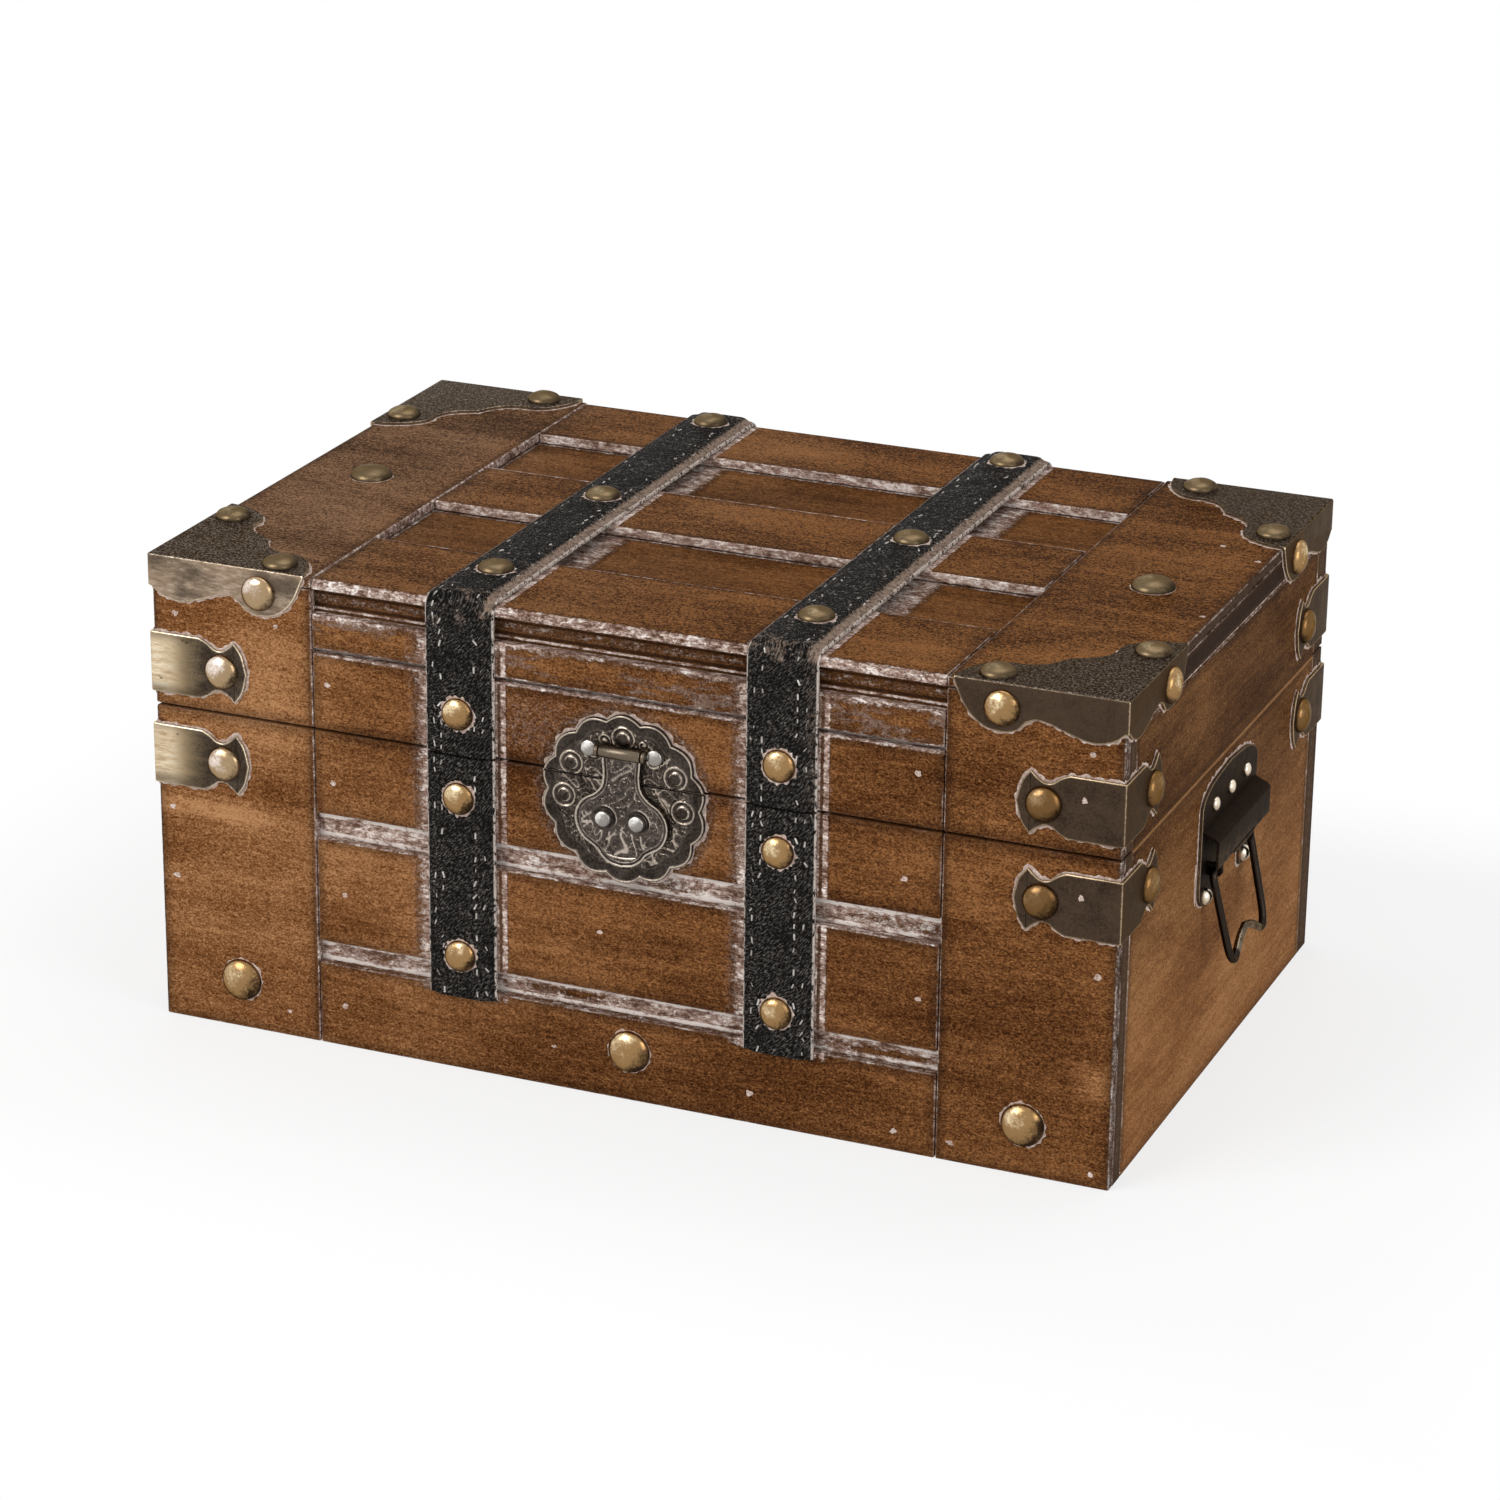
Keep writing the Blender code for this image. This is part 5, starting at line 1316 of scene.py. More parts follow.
# %% Sheen of the caps and brackets
PAINTED_TOP_BLACK = (0.014, 0.0095, 0.0075)
# Paler tones for the front left cap and brackets: their paleness is a painted reflection.
REFLECTING_CORNER_TONES = ((0.036, 0.025, 0.017), (0.145, 0.108, 0.078), (0.84, 0.72, 0.53))
DARK_BRONZE = ((0.024, 0.016, 0.011), (0.076, 0.049, 0.032), (0.40, 0.30, 0.19))


def painted_dark_cap_top(finish, colour, state):
    """A painted reflection: a cap's top is painted much darker than its sides, more so on the right.
    """
    x, y, z = finish.axes()
    # Painted reflection: the top flap is painted dark.
    top = finish.step(z, TOP + 0.35, TOP + 0.95)
    etched = finish.noise(1.4, 4.0, 0.85, shift=12.0)
    dark = finish.ramp(etched * 2.3 - 0.68, PAINTED_TOP_BLACK, (0.038, 0.028, 0.022), (0.26, 0.21, 0.17))
    dark = finish.mix(finish.step(state, 0.85, 1.5), dark, (0.42, 0.34, 0.24))
    dark = finish.mix(finish.step(x, -20.0, 20.0) * 0.32, dark, PAINTED_TOP_BLACK)
    return finish.mix(top, colour, dark)


def light_flap(finish, colour, state):
    """A light cap: a painted reflection, pale with brushed streaks, on its sides; a top painted dark.
    """
    x, y, z = finish.axes()
    brushed = finish.noise((0.22, 0.22, 0.75), 4.0, 0.75, shift=4.0)
    blots = finish.noise((0.055, 0.055, 0.08), 2.0, 0.5, shift=9.0)
    # Painted reflection: pale patches, fading away from the corner's vertical edge.
    pale = (finish.step(blots + (brushed - 0.5) * 0.25, 0.34, 0.60)
            * (1 - finish.step((SIDE - abs(x)) & (BACK - abs(y)), 17.0, 30.0) * 0.65)
            * (1 - finish.step(state, 0.85, 1.05)))
    light = finish.ramp(brushed, (0.21, 0.145, 0.10), (0.33, 0.24, 0.165), (0.54, 0.43, 0.33))
    return painted_dark_cap_top(finish, finish.mix(pale * 0.9, colour, light), state)


def pale_corner(finish, colour, state):
    """A light bracket's painted reflection: palest at the fold, and dark round its nail and along its
    edges.
    """
    x, y, z = finish.axes()
    brushed = finish.noise((0.14, 0.14, 0.9), 4.0, 0.75, shift=4.0)
    far = ((SIDE - abs(x)) | (BACK - abs(y))) + (brushed - 0.5) * 9
    near_edge = finish.step(abs(abs(z - MIDDLE) - 14.0) + (brushed - 0.5) * 3, 9.0, 5.5)
    # Painted reflection: pale near the fold, less so towards the bracket's edges.
    pale = finish.step(far, 18.0, 3.0) * (near_edge * 0.6 + 0.4)
    pit = finish.noise(0.30, 3.0, 0.6, shift=13.0)
    light = finish.ramp(brushed, (0.38, 0.265, 0.15), (0.64, 0.51, 0.34), (0.90, 0.80, 0.62))
    light = finish.mix(finish.step(far, 5.0, 11.0) * 0.75, light, (0.34, 0.235, 0.115))
    return finish.mix(pale * finish.step(pit, 0.71, 0.66), colour, light)


for name, signs in CORNERS.items():
    # The front left corner's sheets and nails take the paler copies, a painted reflection.
    light = name == "front_left"
    tones = REFLECTING_CORNER_TONES if light else DARK_BRONZE
    drawings = [(drawing, clipped(uneven_rim(clipped(evenly(drawing), 0.3, 0.3), seed), 0, 0))
                for drawing, seed in ((cap_top(), 2.0), (cap_side(), 3.0), (cap_side(), 4.0))]
    finish = metal("cap_" + name, *tones, fold="corner", shift=0.24, mottle=0.6,
                   gloss=light_flap if light else painted_dark_cap_top)
    nails = REFLECTING_SILVER_BRASS if light else BRASS
    dress_sheet("lid_corner_cap_" + name, signs, TOP, drawings, CAP_FACES, CAP_TACKS,
                [finish, nails, CHALK, TOP_BRASS])
    nails = OLD_BRASS if signs[0] > 0 else nails
    for row, height in (("lid_bracket_", LID_BOTTOM + 13.2), ("base_bracket_", BASE_TOP - 14.8)):
        drawings = [(bracket_flap(), clipped(uneven_rim(bracket_flap(), height + index), 0))
                    for index in (0, 1)]
        finish = metal(row + name, *tones, fold="edge", shift=0.06 if light else 0.20,
                       gloss=pale_corner if light else None, speckle=0.8)
        dress_sheet(row + name, signs, height, drawings, CAP_FACES[1:], BRACKET_TACKS,
                    [finish, nails, CHALK, TOP_BRASS], not light and signs[1] > 0)
print("caps and brackets done:", len(ALL), "pieces")

# %% [markdown]
# ## The round lock plate
#
# The plate is a thin casting with a scalloped rim, five round medallions and leaves between
# them. Its relief is a height for each place of a disc. The disc is a row of points spun round,
# so its rings follow the rim, and then each point is moved out by the scallop and up by the
# relief. The chest opens through the plate, so the disc is cut twice at the parting line.

# %% Heights of the lock's relief
LOCK_RADIUS, LOCK_NOTCH, LOBES = 25.6, 1.8, 14
LOCK_FACE, LOCK_SHEET, DOME = FRONT - 1.1, 0.8, 1.05
MEDALLIONS = [(18.5 * math.cos(math.radians(a)), 18.5 * math.sin(math.radians(a)))
              for a in (90, 151, 29, 184, -3)]
SCROLLS = ((6.2, 17.4, 1.9, 1), (-6.0, 17.2, 2.2, -1), (9.0, 13.0, 2.4, 1), (-9.0, 13.0, 2.4, -1))


def bead(distance, half):
    """A rounded ridge: 1 on its line, and 0 from half its width away."""
    return max(0.0, 1.0 - (distance / half) ** 2) ** 0.7


def scroll(u, v, radius, hand):
    """A ridge wound into a spiral, with a ball at its middle."""
    far = math.hypot(u, v)
    wind = (far / radius * 1.6 - hand * math.atan2(v, u) / math.tau) % 1.0
    return max(bead(wind - 0.5, 0.34), bead(far, radius * 0.26) * 1.2)


def scallop(angle):
    """How far the rim reaches at an angle."""
    return LOCK_RADIUS - LOCK_NOTCH * (1 - abs(math.sin(angle * LOBES / 2)))


def foliage(u, v, seed):
    """Curled veins: the lines on which a warped noise crosses zero; 1 on a line, 0 beside it."""
    bend = noise.noise(Vector((u * 0.17, v * 0.17, seed)))
    curl = noise.noise(Vector((u * 0.30 + bend * 1.6, v * 0.30 - bend * 1.3, seed + 5.0)))
    fine = noise.noise(Vector((u * 0.62 - bend, v * 0.62 + bend, seed + 9.0)))
    return max(bead(curl, 0.095), bead(fine, 0.13) * 0.75)


def lock_relief(u, v):
    """Height of the lock's relief above its face, 0 to about 1 mm."""
    far, angle = math.hypot(u, v), math.atan2(v, u)
    lobe = abs(math.sin(angle * LOBES / 2))
    height = max(0.42 * bead(scallop(angle) - far - 0.42, 0.48),
                 0.17 * bead(far - (21.6 - 1.5 * (1 - lobe)), 0.42))
    for x, y in MEDALLIONS:
        out = math.hypot(u - x, v - y)
        if out < 4.0:
            return max(0.46 * bead(out - 3.4, 0.42), DOME * bead(out, 2.3),
                       0.16 * foliage(u, v, 31.0))
    for x, y, size, hand in SCROLLS:
        if math.hypot(u - x, v - y) < size:
            return max(height, 0.4 * scroll(u - x, v - y, size, hand))
    return max(height, 0.36 * foliage(u, v, 3.0)) if far < 20.8 else height


def under_hasp(u, v):
    """True where the hasp lies over the plate, so that the relief stays low."""
    leaf = (abs(u) < 8.2 or v < 4.5) and math.hypot(u / 15.2, (v + 6.6) / 13.5) < 1.0
    return leaf or (abs(u) < 8.0 and 0 < v < 16.5)


print("relief at the top medallion:", round(lock_relief(0.0, 18.5), 2), "mm")


# %% Disc, cuts and thickness
def relief_disc(rings=88, steps=420):
    """A disc whose points follow the scalloped rim."""
    bm = spun([(LOCK_RADIUS * ring / rings, 0.0) for ring in range(rings + 1)], steps)
    for vert in bm.verts:
        vert.co *= scallop(math.atan2(vert.co.y, vert.co.x)) / LOCK_RADIUS
    return bm


def cast(bm, relief, back, covered=None, floor=0.12):
    """Raise each point by the relief, keep that as wear, and close the sheet behind."""
    worn = bm.verts.layers.float["worn"]
    for vert in bm.verts:
        height = relief(vert.co.x, vert.co.y)
        share = max(0.0, min(1.0, (height - 0.08) / 0.32, (DOME - height) / 0.30))
        vert[worn] = share * share * (3 - 2 * share) if height < 0.6 else 0.0
        hidden = covered and covered(vert.co.x, vert.co.y)
        vert.co.z = min(height, floor) if hidden else height
    walls = bmesh.ops.extrude_edge_only(bm, edges=open_edges(bm))["geom"]
    worn = bm.verts.layers.float["worn"]
    for vert in verts_in(walls):
        vert.co.z, vert[worn] = back, 0.0
    bmesh.ops.contextual_create(bm, geom=open_edges(bm))


def half_lock(cut, keep_upper):
    """The plate above or below a height, given its thickness and closed behind."""
    bm = relief_disc()
    bmesh.ops.bisect_plane(bm, geom=[*bm.verts, *bm.edges, *bm.faces], dist=0.0001,
                           plane_co=(0, cut, 0), plane_no=(0, 1, 0), clear_inner=keep_upper,
                           clear_outer=not keep_upper)
    cast(bm, lock_relief, -LOCK_SHEET, under_hasp)
    bmesh.ops.recalc_face_normals(bm, faces=bm.faces)
    return moved(bm, plane((1, 0, 0), (0, 0, 1), (LOCK_X, LOCK_FACE, LOCK_Z)))


print("lock:", 2 * LOCK_RADIUS, "mm across, cut at", round(MIDDLE - LOCK_Z, 1), "mm from its middle")

# %% [markdown]
# ## Gunmetal
#
# The lock and the hasp are grey brown, nearly black in the hollows and silvery on the high
# lines. The ears hold a steel pin, and two flat bright nails stand beside the hasp's barrel.

# %% Lock plates, ears and nails
GUNMETAL = metal("gunmetal", (0.016, 0.012, 0.010), (0.085, 0.068, 0.056), (0.44, 0.37, 0.30),
                 rough=0.30, shift=0.10, dull=0.55, mottle=0.6, speckle=0.9, gain=0.90)
HASP_METAL = metal("hasp_gunmetal", (0.022, 0.017, 0.015), (0.100, 0.080, 0.068),
                   (0.50, 0.43, 0.36), rough=0.30, shift=0.14, mottle=0.6, speckle=0.9, gain=0.85)
WORN_BARREL = metal("worn_barrel", (0.035, 0.028, 0.022), (0.15, 0.118, 0.085),
                    (0.50, 0.42, 0.32), rough=0.30, shift=0.36, speckle=0.9)
SILVER = metal("flat_silver", (0.060, 0.054, 0.048), (0.30, 0.275, 0.25), (0.93, 0.90, 0.85),
               rough=0.34, shift=0.08, speckle=0.7, sheen=0.02)
HASP_Y, HASP_Z, BARREL, BARREL_LENGTH, BORE, EAR = FRONT - 3.2, 109.0, 1.8, 12.8, 0.8, 1.1
HEAD, HEAD_RISE = 2.4, 2.2
ALONG_X = Matrix.Rotation(math.pi / 2, 4, "Y")


def sleeve(radius, length, bore, place, steps=32):
    """A round bar with a bore along the place's Z, and rounded ends."""
    half, soft = length / 2, min(0.25, radius / 4)
    bm = spun([(bore, -half), (radius - soft, -half), (radius, -half + soft),
               (radius, half - soft), (radius - soft, half), (bore, half)], steps, ring=True)
    bmesh.ops.recalc_face_normals(bm, faces=bm.faces)
    return moved(bm, place)


def flat_head(place, foot, shoulder):
    """A flat silver head, with wear and painted light like the domed ones."""
    head = turned([(HEAD, foot), (HEAD, shoulder), (2.3, 1.8), (2.0, 1.98), (1.3, 2.12),
                   (0.0, HEAD_RISE)])
    rub_and_light(head, place, HEAD, HEAD_RISE)
    return moved(head, place)


def dress_lock(node, cut, keep_upper):
    """A half plate on its slip of wash; the upper one carries the ears and the flat nails."""
    whole = fresh()
    add_part(whole, half_lock(cut, keep_upper))
    angles = [math.tau * step / 240 for step in range(240)]
    outline = [Vector((scallop(a) * math.cos(a), scallop(a) * math.sin(a))) for a in angles]
    kept = [Vector((u, max(v, cut) if keep_upper else min(v, cut)))
            for u, v in uneven_rim(outline, cut, 0.2, 1.2)]
    rim = filled(kept, plane((1, 0, 0), (0, 0, 1), (LOCK_X, FRONT, LOCK_Z)))
    bmesh.ops.dissolve_degenerate(rim, dist=0.01, edges=rim.edges)
    add_part(whole, pushed_out(rim, (0, -0.06, 0)), 3)
    for sign in (-1, 1) if keep_upper else ():
        ear_x = LOCK_X + sign * (BARREL_LENGTH / 2 + 0.3 + EAR / 2)
        place = Matrix.Translation((ear_x, HASP_Y, HASP_Z)) @ ALONG_X
        add_part(whole, sleeve(BARREL, EAR, BORE, place), 1)
        web = board_mesh(Vector((ear_x - EAR / 2, HASP_Y + 0.9, HASP_Z - 1.4)),
                         Vector((ear_x + EAR / 2, LOCK_FACE + 0.4, HASP_Z + 1.4)), 0.15)
        add_part(whole, web, 1)
        place = facing((0, -1, 0), (LOCK_X + sign * 10.2, LOCK_FACE, HASP_Z))
        add_part(whole, flat_head(place, -0.2, 1.55), 2)
    finish_piece(node, whole, [GUNMETAL, WORN_BARREL, SILVER, CHALK], sharp=50.0)


dress_lock("lock_plate_upper", LID_BOTTOM - LOCK_Z, True)
dress_lock("lock_plate_lower", BASE_TOP - LOCK_Z, False)
print("lock done:", ALL[-1])

# %% [markdown]
# ## The hasp
#
# The hasp is a cast leaf: a neck with curled veins, two lobes, a stud on each, and a rounded end
# with veins that fan out. A grid is squeezed to the leaf's width at each height, and its relief
# is again a height for each place. A k-d tree of the outline's points gives the distance to the
# edge, which the double rim line follows all the way round.

# %% Outline and relief of the hasp
LEAF, LEAF_HALF, NECK = 34.8, 14.45, 5.65
STUD_X, STUD_DOWN = 5.2, 20.4
LEAF_SIDE = smooth_curve(
    scaled([(1.09, 0), (1.04, .10), (1, .21), (1.11, .31)], NECK, LEAF)
    + scaled([(.59, .385), (.80, .44), (.95, .52), (1, .61), (.95, .71), (.82, .79), (.65, .835),
              (.53, .87), (.43, .925), (.24, .98), (0, 1)], LEAF_HALF, LEAF), 8)
RIM_TREE = kdtree.KDTree(2 * len(LEAF_SIDE))
for index, (u, down) in enumerate(LEAF_SIDE):
    RIM_TREE.insert((u, down, 0), 2 * index)
    RIM_TREE.insert((-u, down, 0), 2 * index + 1)
RIM_TREE.balance()


def half_width(down):
    """Half the leaf's width at a distance below its axis."""
    for upper, lower in zip(LEAF_SIDE, LEAF_SIDE[1:]):
        if upper.y <= down <= lower.y + 1e-9:
            share = (down - upper.y) / max(1e-9, lower.y - upper.y)
            return upper.x + (lower.x - upper.x) * share
    return 0.0


def hasp_relief(u, down):
    """Height of the leaf's relief, 0 to about 0.5 mm."""
    inside = RIM_TREE.find((u, down, 0))[2]
    height = max(0.42 * bead(inside - 0.3, 0.4), 0.30 * bead(inside - 1.35, 0.34))
    if inside < 1.7:
        return height
    stud = math.hypot(abs(u) - STUD_X, down - STUD_DOWN)
    if stud < 4.2:
        # Painted highlight: the ring round a stud is raised most at its upper right, and cast()
        # colours it brightest there.
        lit = math.atan2(STUD_DOWN - down, u - math.copysign(STUD_X, u)) - 0.7
        return max(0.40 * bead(stud - 3.75, 0.40) * (0.5 + 0.5 * math.cos(lit)), 0.03)
    if down > 24.0:
        fan_far, fan_angle = math.hypot(u, down - 15.5), math.atan2(u, down - 15.5)
        height = max(height, 0.42 * bead(fan_far - 16.6, 0.45))
        if fan_far < 16.0:
            bent_angle = fan_angle * 10 + 2.4 * noise.noise(Vector((u * 0.2, down * 0.2, 1.0)))
            height = max(height, 0.36 * abs(math.cos(bent_angle)) ** 6)
    return max(height, 0.33 * foliage(u, down, 21.0))


print("leaf:", round(2 * half_width(LEAF * 0.61), 1), "mm wide")


# %% Leaf, studs and barrel
def leaf_mesh(rows=150, columns=110):
    """A grid squeezed to the leaf's width, raised by the relief and given a flat back."""
    bm = fresh()
    bmesh.ops.create_grid(bm, x_segments=columns, y_segments=rows, size=1.0)
    for vert in bm.verts:
        down = LEAF * math.sin((vert.co.y + 1) / 2 * math.pi / 2)
        vert.co = Vector((vert.co.x * half_width(down), down, 0))
    bmesh.ops.remove_doubles(bm, verts=bm.verts, dist=0.0005)
    bmesh.ops.dissolve_degenerate(bm, dist=0.0005, edges=bm.edges)
    cast(bm, hasp_relief, -1.0)
    bmesh.ops.scale(bm, vec=(1, -1, 1), verts=bm.verts)
    bmesh.ops.recalc_face_normals(bm, faces=bm.faces)
    return bm


face = LOCK_FACE - 0.4 - 1.0
whole = fresh()
add_part(whole, moved(leaf_mesh(), plane((1, 0, 0), (0, 0, 1), (LOCK_X, face, HASP_Z))))
axis = Matrix.Translation((LOCK_X, HASP_Y, HASP_Z)) @ ALONG_X
add_part(whole, sleeve(BARREL, BARREL_LENGTH, BORE, axis, 40), 1)
for sign in (-1, 1):
    place = facing((0, -1, 0), (LOCK_X + sign * STUD_X, face, HASP_Z - STUD_DOWN))
    collar = turned([(3.0, -0.2), (2.95, 0.3), (2.75, 0.48), (2.55, 0.42), (2.3, 0.25),
                     (0.0, 0.25)])
    add_part(whole, moved(collar, place))
    add_part(whole, flat_head(place, 0.0, 1.5), 2)
finish_piece("hasp", whole, [HASP_METAL, WORN_BARREL, SILVER], sharp=50.0,
             body="hasp_leaf")
print("hasp done:", ALL[-1])

# %% [markdown]
# ## End handles
#
# A pressed plate carries a hood like a roof, from which a wire bail hangs in two lugs and leans
# on two nails. The hood is its bent section extruded along the chest's side with the ridge
# rounded by a bevel. The bail is drawn as a curve with a round bevel, because its bends are
# smoother that way than as a chain of extrusions, and turned into a mesh.

# %% Plate, hood and lugs
PLATE_Y, PLATE_TOP, PLATE_HEIGHT, PLATE_HALF, ARCH = 1.5, 96.0, 38.5, 26.5, 7.5
NOTCH_HALF, NOTCH_DROP, ROUND, FOOT_ROUND, HANDLE_SHEET = 12.5, 29.5, 6.0, 1.5, 0.8
HOOD_HALF, HOOD_DEPTH, HOOD_DROP, HOOD_SLOPE, HOOD_FRONT = 25.0, 5.5, 14.8, 2.0, 8.2
BAIL_Y, BAIL_X, BAIL_Z, BAIL_RADIUS, BAIL_LEAN = -2.0, 3.2, 68.5, 1.2, math.radians(13.0)
BAIL_HALF, BAIL_LONG, BAIL_NOTCH, JOURNAL = 18.0, 28.6, 5.5, 6.5
LUG_Y, LUG_RADIUS, LUG_LENGTH, LUG_BORE = 15.0, 2.3, 1.2, 1.3


def on_side(out, y=PLATE_Y, z=0.0):
    """Matrix from a drawing to a plane beside the right wall, this far out."""
    return plane((0, 1, 0), (0, 0, 1), (out, y, z))


def handle_outline():
    """The plate's outline: a low arch above two rounded feet."""
    bottom, shoulder = PLATE_TOP - PLATE_HEIGHT, PLATE_TOP - ARCH
    arch = smooth_curve([(PLATE_HALF, shoulder), (PLATE_HALF * .90, shoulder + ARCH * .42),
                         (PLATE_HALF * .60, shoulder + ARCH * .80), (0, PLATE_TOP)], 10)
    return with_mirror([
        Vector((NOTCH_HALF, PLATE_TOP - NOTCH_DROP)),
        *arc((NOTCH_HALF + FOOT_ROUND, bottom + FOOT_ROUND), FOOT_ROUND, 180, 270, 6),
        *arc((PLATE_HALF - ROUND, bottom + ROUND), ROUND, -90, 0, 12), *arch[1:]], (-1, 1))


def handle_hood():
    """The hood and its rounded lip, with softened bends."""
    root = PLATE_TOP - HOOD_DROP
    ridge, outer = root - HOOD_SLOPE, HOOD_DEPTH + HANDLE_SHEET / 2
    foot, inner, rise = ridge - HOOD_FRONT, outer - HANDLE_SHEET, HANDLE_SHEET * 1.2
    start = OFF + HANDLE_SHEET / 2
    section = [(start, root), (inner, ridge), (inner, foot), (outer, foot), (outer, ridge),
               (inner, ridge + rise), (start, root + rise)]
    hood = filled(section, plane((1, 0, 0), (0, 0, 1), (0, PLATE_Y + HOOD_HALF, 0)))
    pushed_out(hood, (0, -2 * HOOD_HALF, 0))
    bends = [edge for edge in hood.edges if abs(edge.verts[0].co.y - edge.verts[1].co.y) > 1]
    lip = smooth_curve([(-11, foot), (-6.6, foot - .8), (0, foot - 1), (6.6, foot - .8),
                        (11, foot)])
    lip += [Vector((11, foot + 0.8)), Vector((-11, foot + 0.8))]
    return [bevelled(hood, bends, 0.3, 3),
            pushed_out(filled(lip, on_side(inner)), (HANDLE_SHEET, 0, 0))]


def handle_lugs():
    """Two lugs with bores, on the plate under the hood."""
    parts = []
    for y in (BAIL_Y - LUG_Y, BAIL_Y + LUG_Y):
        place = Matrix.Translation((BAIL_X, y, BAIL_Z)) @ Matrix.Rotation(math.pi / 2, 4, "X")
        parts += [sleeve(LUG_RADIUS, LUG_LENGTH, LUG_BORE, place),
                  board_mesh(Vector((OFF + 0.4, y - 0.6, BAIL_Z - 2.05)),
                             Vector((BAIL_X - 1.35, y + 0.6, BAIL_Z + 2.05)), 0.12)]
    return parts


print("handle outline:", len(handle_outline()), "points")


# %% Bail
def bail_mesh(sign):
    """The wire bail, leaning out from the wall, for the left or right end."""
    turn = BAIL_RADIUS * 1.6
    leg = smooth_curve([
        (BAIL_HALF, turn),
        *scaled([(.97, .45), (.93, .82), (.86, .95), (.73, 1), (.56, .95)], BAIL_HALF, BAIL_LONG),
        (BAIL_HALF * .30, BAIL_LONG - BAIL_NOTCH * .72), (0, BAIL_LONG - BAIL_NOTCH)], 8)
    points = with_mirror([Vector((BAIL_HALF - JOURNAL, 0)),
                          *arc((BAIL_HALF - turn, turn), turn, -90, 0, 8), *leg[1:]], (-1, 1))
    curve = bpy.data.curves.new("bail", "CURVE")
    curve.dimensions = "3D"
    curve.bevel_depth = BAIL_RADIUS
    curve.bevel_resolution = 6
    curve.use_fill_caps = True
    spline = curve.splines.new("POLY")
    spline.points.add(len(points) - 1)
    for point, (across, down) in zip(spline.points, points):
        point.co = (0.0, across, -down, 1.0)
    drawn = shown("bail", curve)
    graph = bpy.context.evaluated_depsgraph_get()
    mesh = bpy.data.meshes.new_from_object(drawn.evaluated_get(graph))
    bpy.data.objects.remove(drawn)
    bm = fresh()
    bm.from_mesh(mesh)
    bpy.data.meshes.remove(mesh)
    bmesh.ops.remove_doubles(bm, verts=bm.verts, dist=0.001)
    bmesh.ops.recalc_face_normals(bm, faces=bm.faces)
    worn = bm.verts.layers.float["worn"]
    for vert in bm.verts:
        vert[worn] = 0.35 + 0.65 * (abs(vert.co.y) < 11 and vert.co.z < -18)
    return moved(bm, Matrix.Translation((sign * (SIDE + BAIL_X), BAIL_Y, BAIL_Z))
                 @ Matrix.Rotation(-sign * BAIL_LEAN, 4, "Y"))


print("bail:", 2 * BAIL_HALF, "mm wide and", BAIL_LONG, "mm long")

# %% Handles at both ends
def hood_sheen(finish, colour, state):
    """A painted sheen: the hood's front is a lighter bronze towards its lip."""
    x, y, z = finish.axes()
    front = finish.step(abs(x), SIDE + 5.2, SIDE + 5.7)
    low = finish.step(z + y * 0.12, 75.5, 70.5) * finish.step(state, 0.0, 0.3)
    return finish.mix(front * low * 0.75, colour, (0.15, 0.105, 0.065))


HANDLE_BRONZE = metal("handle_bronze", (0.009, 0.006, 0.005), (0.027, 0.019, 0.014),
                      (0.22, 0.165, 0.11), shift=0.10, mottle=0.5, gloss=hood_sheen)
BAIL_BRONZE = metal("bail_bronze", (0.010, 0.008, 0.007), (0.030, 0.022, 0.017),
                    (0.30, 0.24, 0.17), rough=0.22, shift=-0.02, dull=0.3, sheen=0.3)
NAIL_BRASS = metal("handle_nails", (0.10, 0.07, 0.05), (0.48, 0.38, 0.27), (0.85, 0.76, 0.62),
                   rough=0.3, shift=0.3)
HANDLE_NAILS = [(PLATE_Y + step * 15.0, PLATE_TOP - 8.8, 2.2, 1.4) for step in (-1, 0, 1)]
HANDLE_NAILS += [(BAIL_Y + step * 18.4, PLATE_TOP - 35.0, 2.6, 2.4) for step in (-1, 1)]
for side, sign in SIDES:
    whole = fresh()
    plate = folded_sheet([placed(handle_outline(), on_side(OFF + HANDLE_SHEET))], [(1, 0, 0)],
                         HANDLE_SHEET)
    for part in [plate, *handle_hood(), *handle_lugs()]:
        bmesh.ops.translate(part, verts=part.verts, vec=(SIDE, 0, 0))
        add_part(whole, mirrored(part, (sign, 1)))
    rim = slip(uneven_rim(handle_outline(), 4.0, high=1.3), on_side(SIDE))
    foot = [Vector((u * 0.8, v * 4.6)) for u, v in irregular(2.0, 5.0 + sign, 24)]
    blot = slip(foot, on_side(SIDE, PLATE_Y - PLATE_HALF - 0.6, PLATE_TOP - 30.0), 0.07)
    for part in (rim, blot):
        add_part(whole, mirrored(part, (sign, 1)), 2)
    for y, z, radius, rise in HANDLE_NAILS:
        add_tack(whole, (sign * (SIDE + OFF + HANDLE_SHEET), y, z), (sign, 0, 0), radius, 1,
                 rise=rise)
    finish_piece("handle_plate_" + side, whole, [HANDLE_BRONZE, NAIL_BRASS, CHALK],
                 sharp=40.0)
    finish_piece("handle_bail_" + side, bail_mesh(sign), [BAIL_BRONZE], sharp=60.0,
                 body="bail_" + side)
print("handles done:", len(ALL), "pieces")

# %% [markdown]
# ## Solids that stay
#
# The hinges and their pins already have their real shape, so the solids are kept, and only
# their slots get a finish. Their mesh isn't touched.

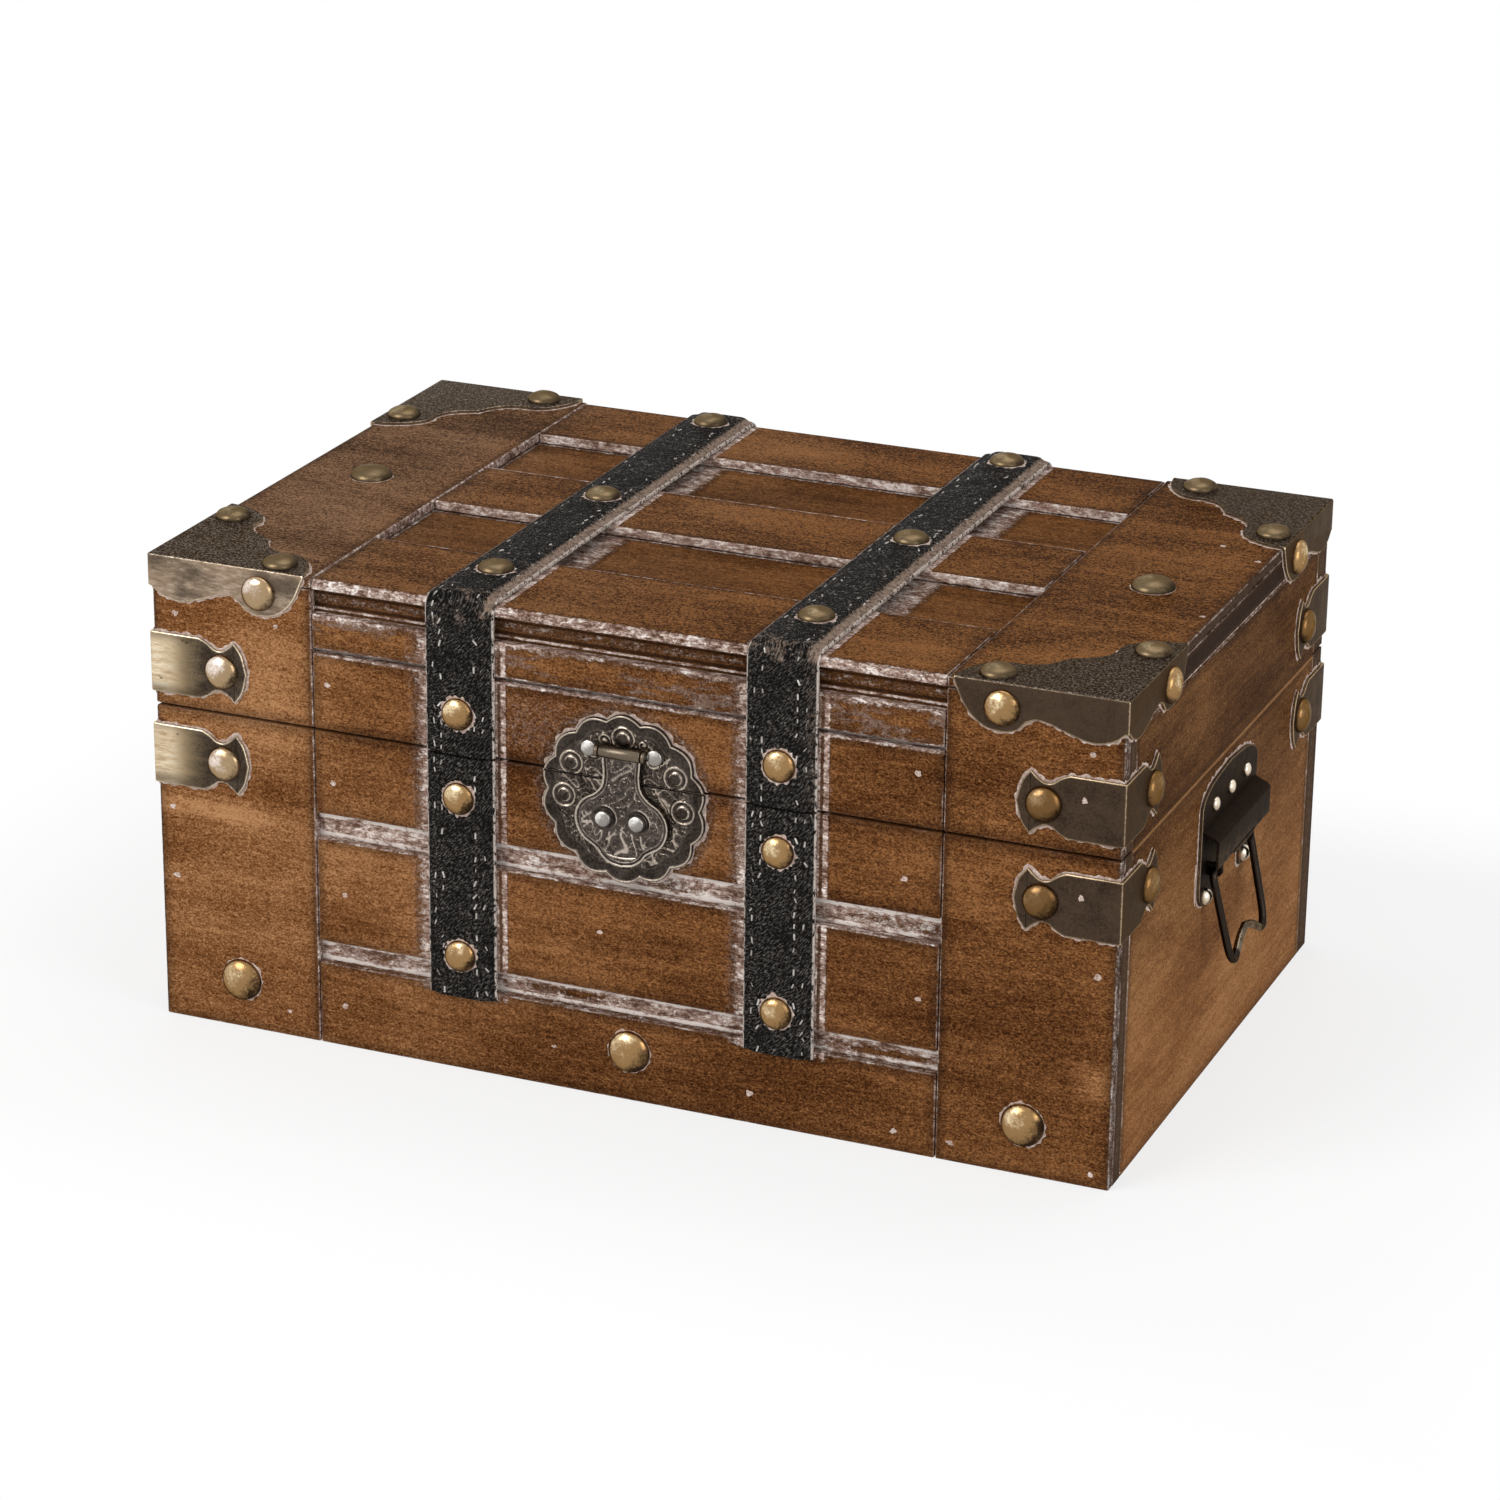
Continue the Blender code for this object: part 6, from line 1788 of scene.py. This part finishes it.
# %% Hinges and pins
STEEL = metal("pin_steel", (0.10, 0.095, 0.09), (0.40, 0.39, 0.38), (0.75, 0.74, 0.72),
              rough=0.3, shift=0.3)
HINGE_BRONZE = metal("hinge_bronze", (0.030, 0.022, 0.016), (0.11, 0.080, 0.055),
                     (0.50, 0.40, 0.28), shift=0.3)
replaced = {node for node, faces in ALL}
for node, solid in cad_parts.items():
    if node not in replaced:
        for slot in solid.material_slots:
            slot.material = STEEL if "pin" in node else HINGE_BRONZE
print("solids that stay:", sorted(set(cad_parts) - replaced))

# %% [markdown]
# ## Floor, light and background
#
# The chest stands on white. The floor shows plain white to the camera away from the chest, and
# turns to real matt paint near it, so that the soft contact shadow stays. The world is white to
# the camera and in reflections, but lights matt surfaces less, and three large soft lamps do
# the rest: a key from the front left, a fill from the right and a weak one from above.

# %% White floor with a shadow
FLOOR_SIZE, SHADOW_REACH, WHITE = 30.0, (165.0, 260.0), (1.0, 1.0, 1.0, 1.0)


def white_floor():
    """A floor that is pure white far away and keeps the shadow near the chest."""
    bm = bmesh.new()
    bmesh.ops.create_grid(bm, x_segments=2, y_segments=2, size=FLOOR_SIZE / 2)
    mesh = bpy.data.meshes.new("floor")
    bm.to_mesh(mesh)
    bm.free()
    floor = shown("floor", mesh)
    finish = Finish("white_floor")
    x, y, z = finish.axes()
    far = finish.step((abs(x) - 40.0) | (abs(y) + 20.0), *SHADOW_REACH)
    finish.feed(finish.shader, {"Base Color": (0.94, 0.94, 0.94, 1.0), "Roughness": 0.9})
    mixed = finish.node("MixShader", sockets={
        0: finish.seen() * (0.72 + far * 0.28), 1: Wire(finish, finish.shader.outputs[0]),
        2: finish.node("Emission", sockets={"Color": WHITE, "Strength": 1.0})})
    finish.feed(finish.tree.nodes["Material Output"], {"Surface": mixed})
    mesh.materials.append(finish.material)


white_floor()
print("floor:", FLOOR_SIZE, "m")

# %% World and lamps
WORLD_LIGHT = 0.42
LAMPS = {"key": ((-0.75, -1.15, 1.05), 0.9, 13.0), "fill": ((1.35, -0.65, 0.55), 0.9, 8.0),
         "top": ((0.1, 0.35, 1.5), 1.0, 5.0)}


def light_the_world():
    """White to the camera and in reflections, and weaker for matt surfaces."""
    world = bpy.data.worlds.new("studio")
    bpy.context.scene.world = world
    world.use_nodes = True
    sheet = Sheet(world.node_tree)
    white = sheet.tree.nodes["Background"]
    sheet.feed(white, {"Color": WHITE, "Strength": 1.0})
    soft = sheet.node("Background", sockets={"Color": WHITE, "Strength": WORLD_LIGHT})
    mixed = sheet.node("MixShader", sockets={0: sheet.seen(), 1: soft,
                                             2: Wire(sheet, white.outputs[0])})
    sheet.feed(sheet.tree.nodes["World Output"], {"Surface": mixed})


light_the_world()
for name, (place, size, power) in LAMPS.items():
    lamp = bpy.data.lights.new(name, "AREA")
    lamp.size, lamp.energy = size, power
    aim = Vector((0, 0, 0.06)) - Vector(place)
    shown(name, lamp).matrix_world = (Matrix.Translation(place)
                                      @ aim.to_track_quat("-Z", "Y").to_matrix().to_4x4())
bpy.context.scene.view_settings.view_transform = "Standard"
print("lamps:", ", ".join(LAMPS))

# %% [markdown]
# ## Count and finish
#
# The dressed chest must have the size of the solids. Here the scene is updated, and the faces of
# the dressed pieces are counted.

# %% Count the faces
bpy.context.view_layer.update()
print("faces:", sum(faces for node, faces in ALL), "in", len(ALL), "pieces")
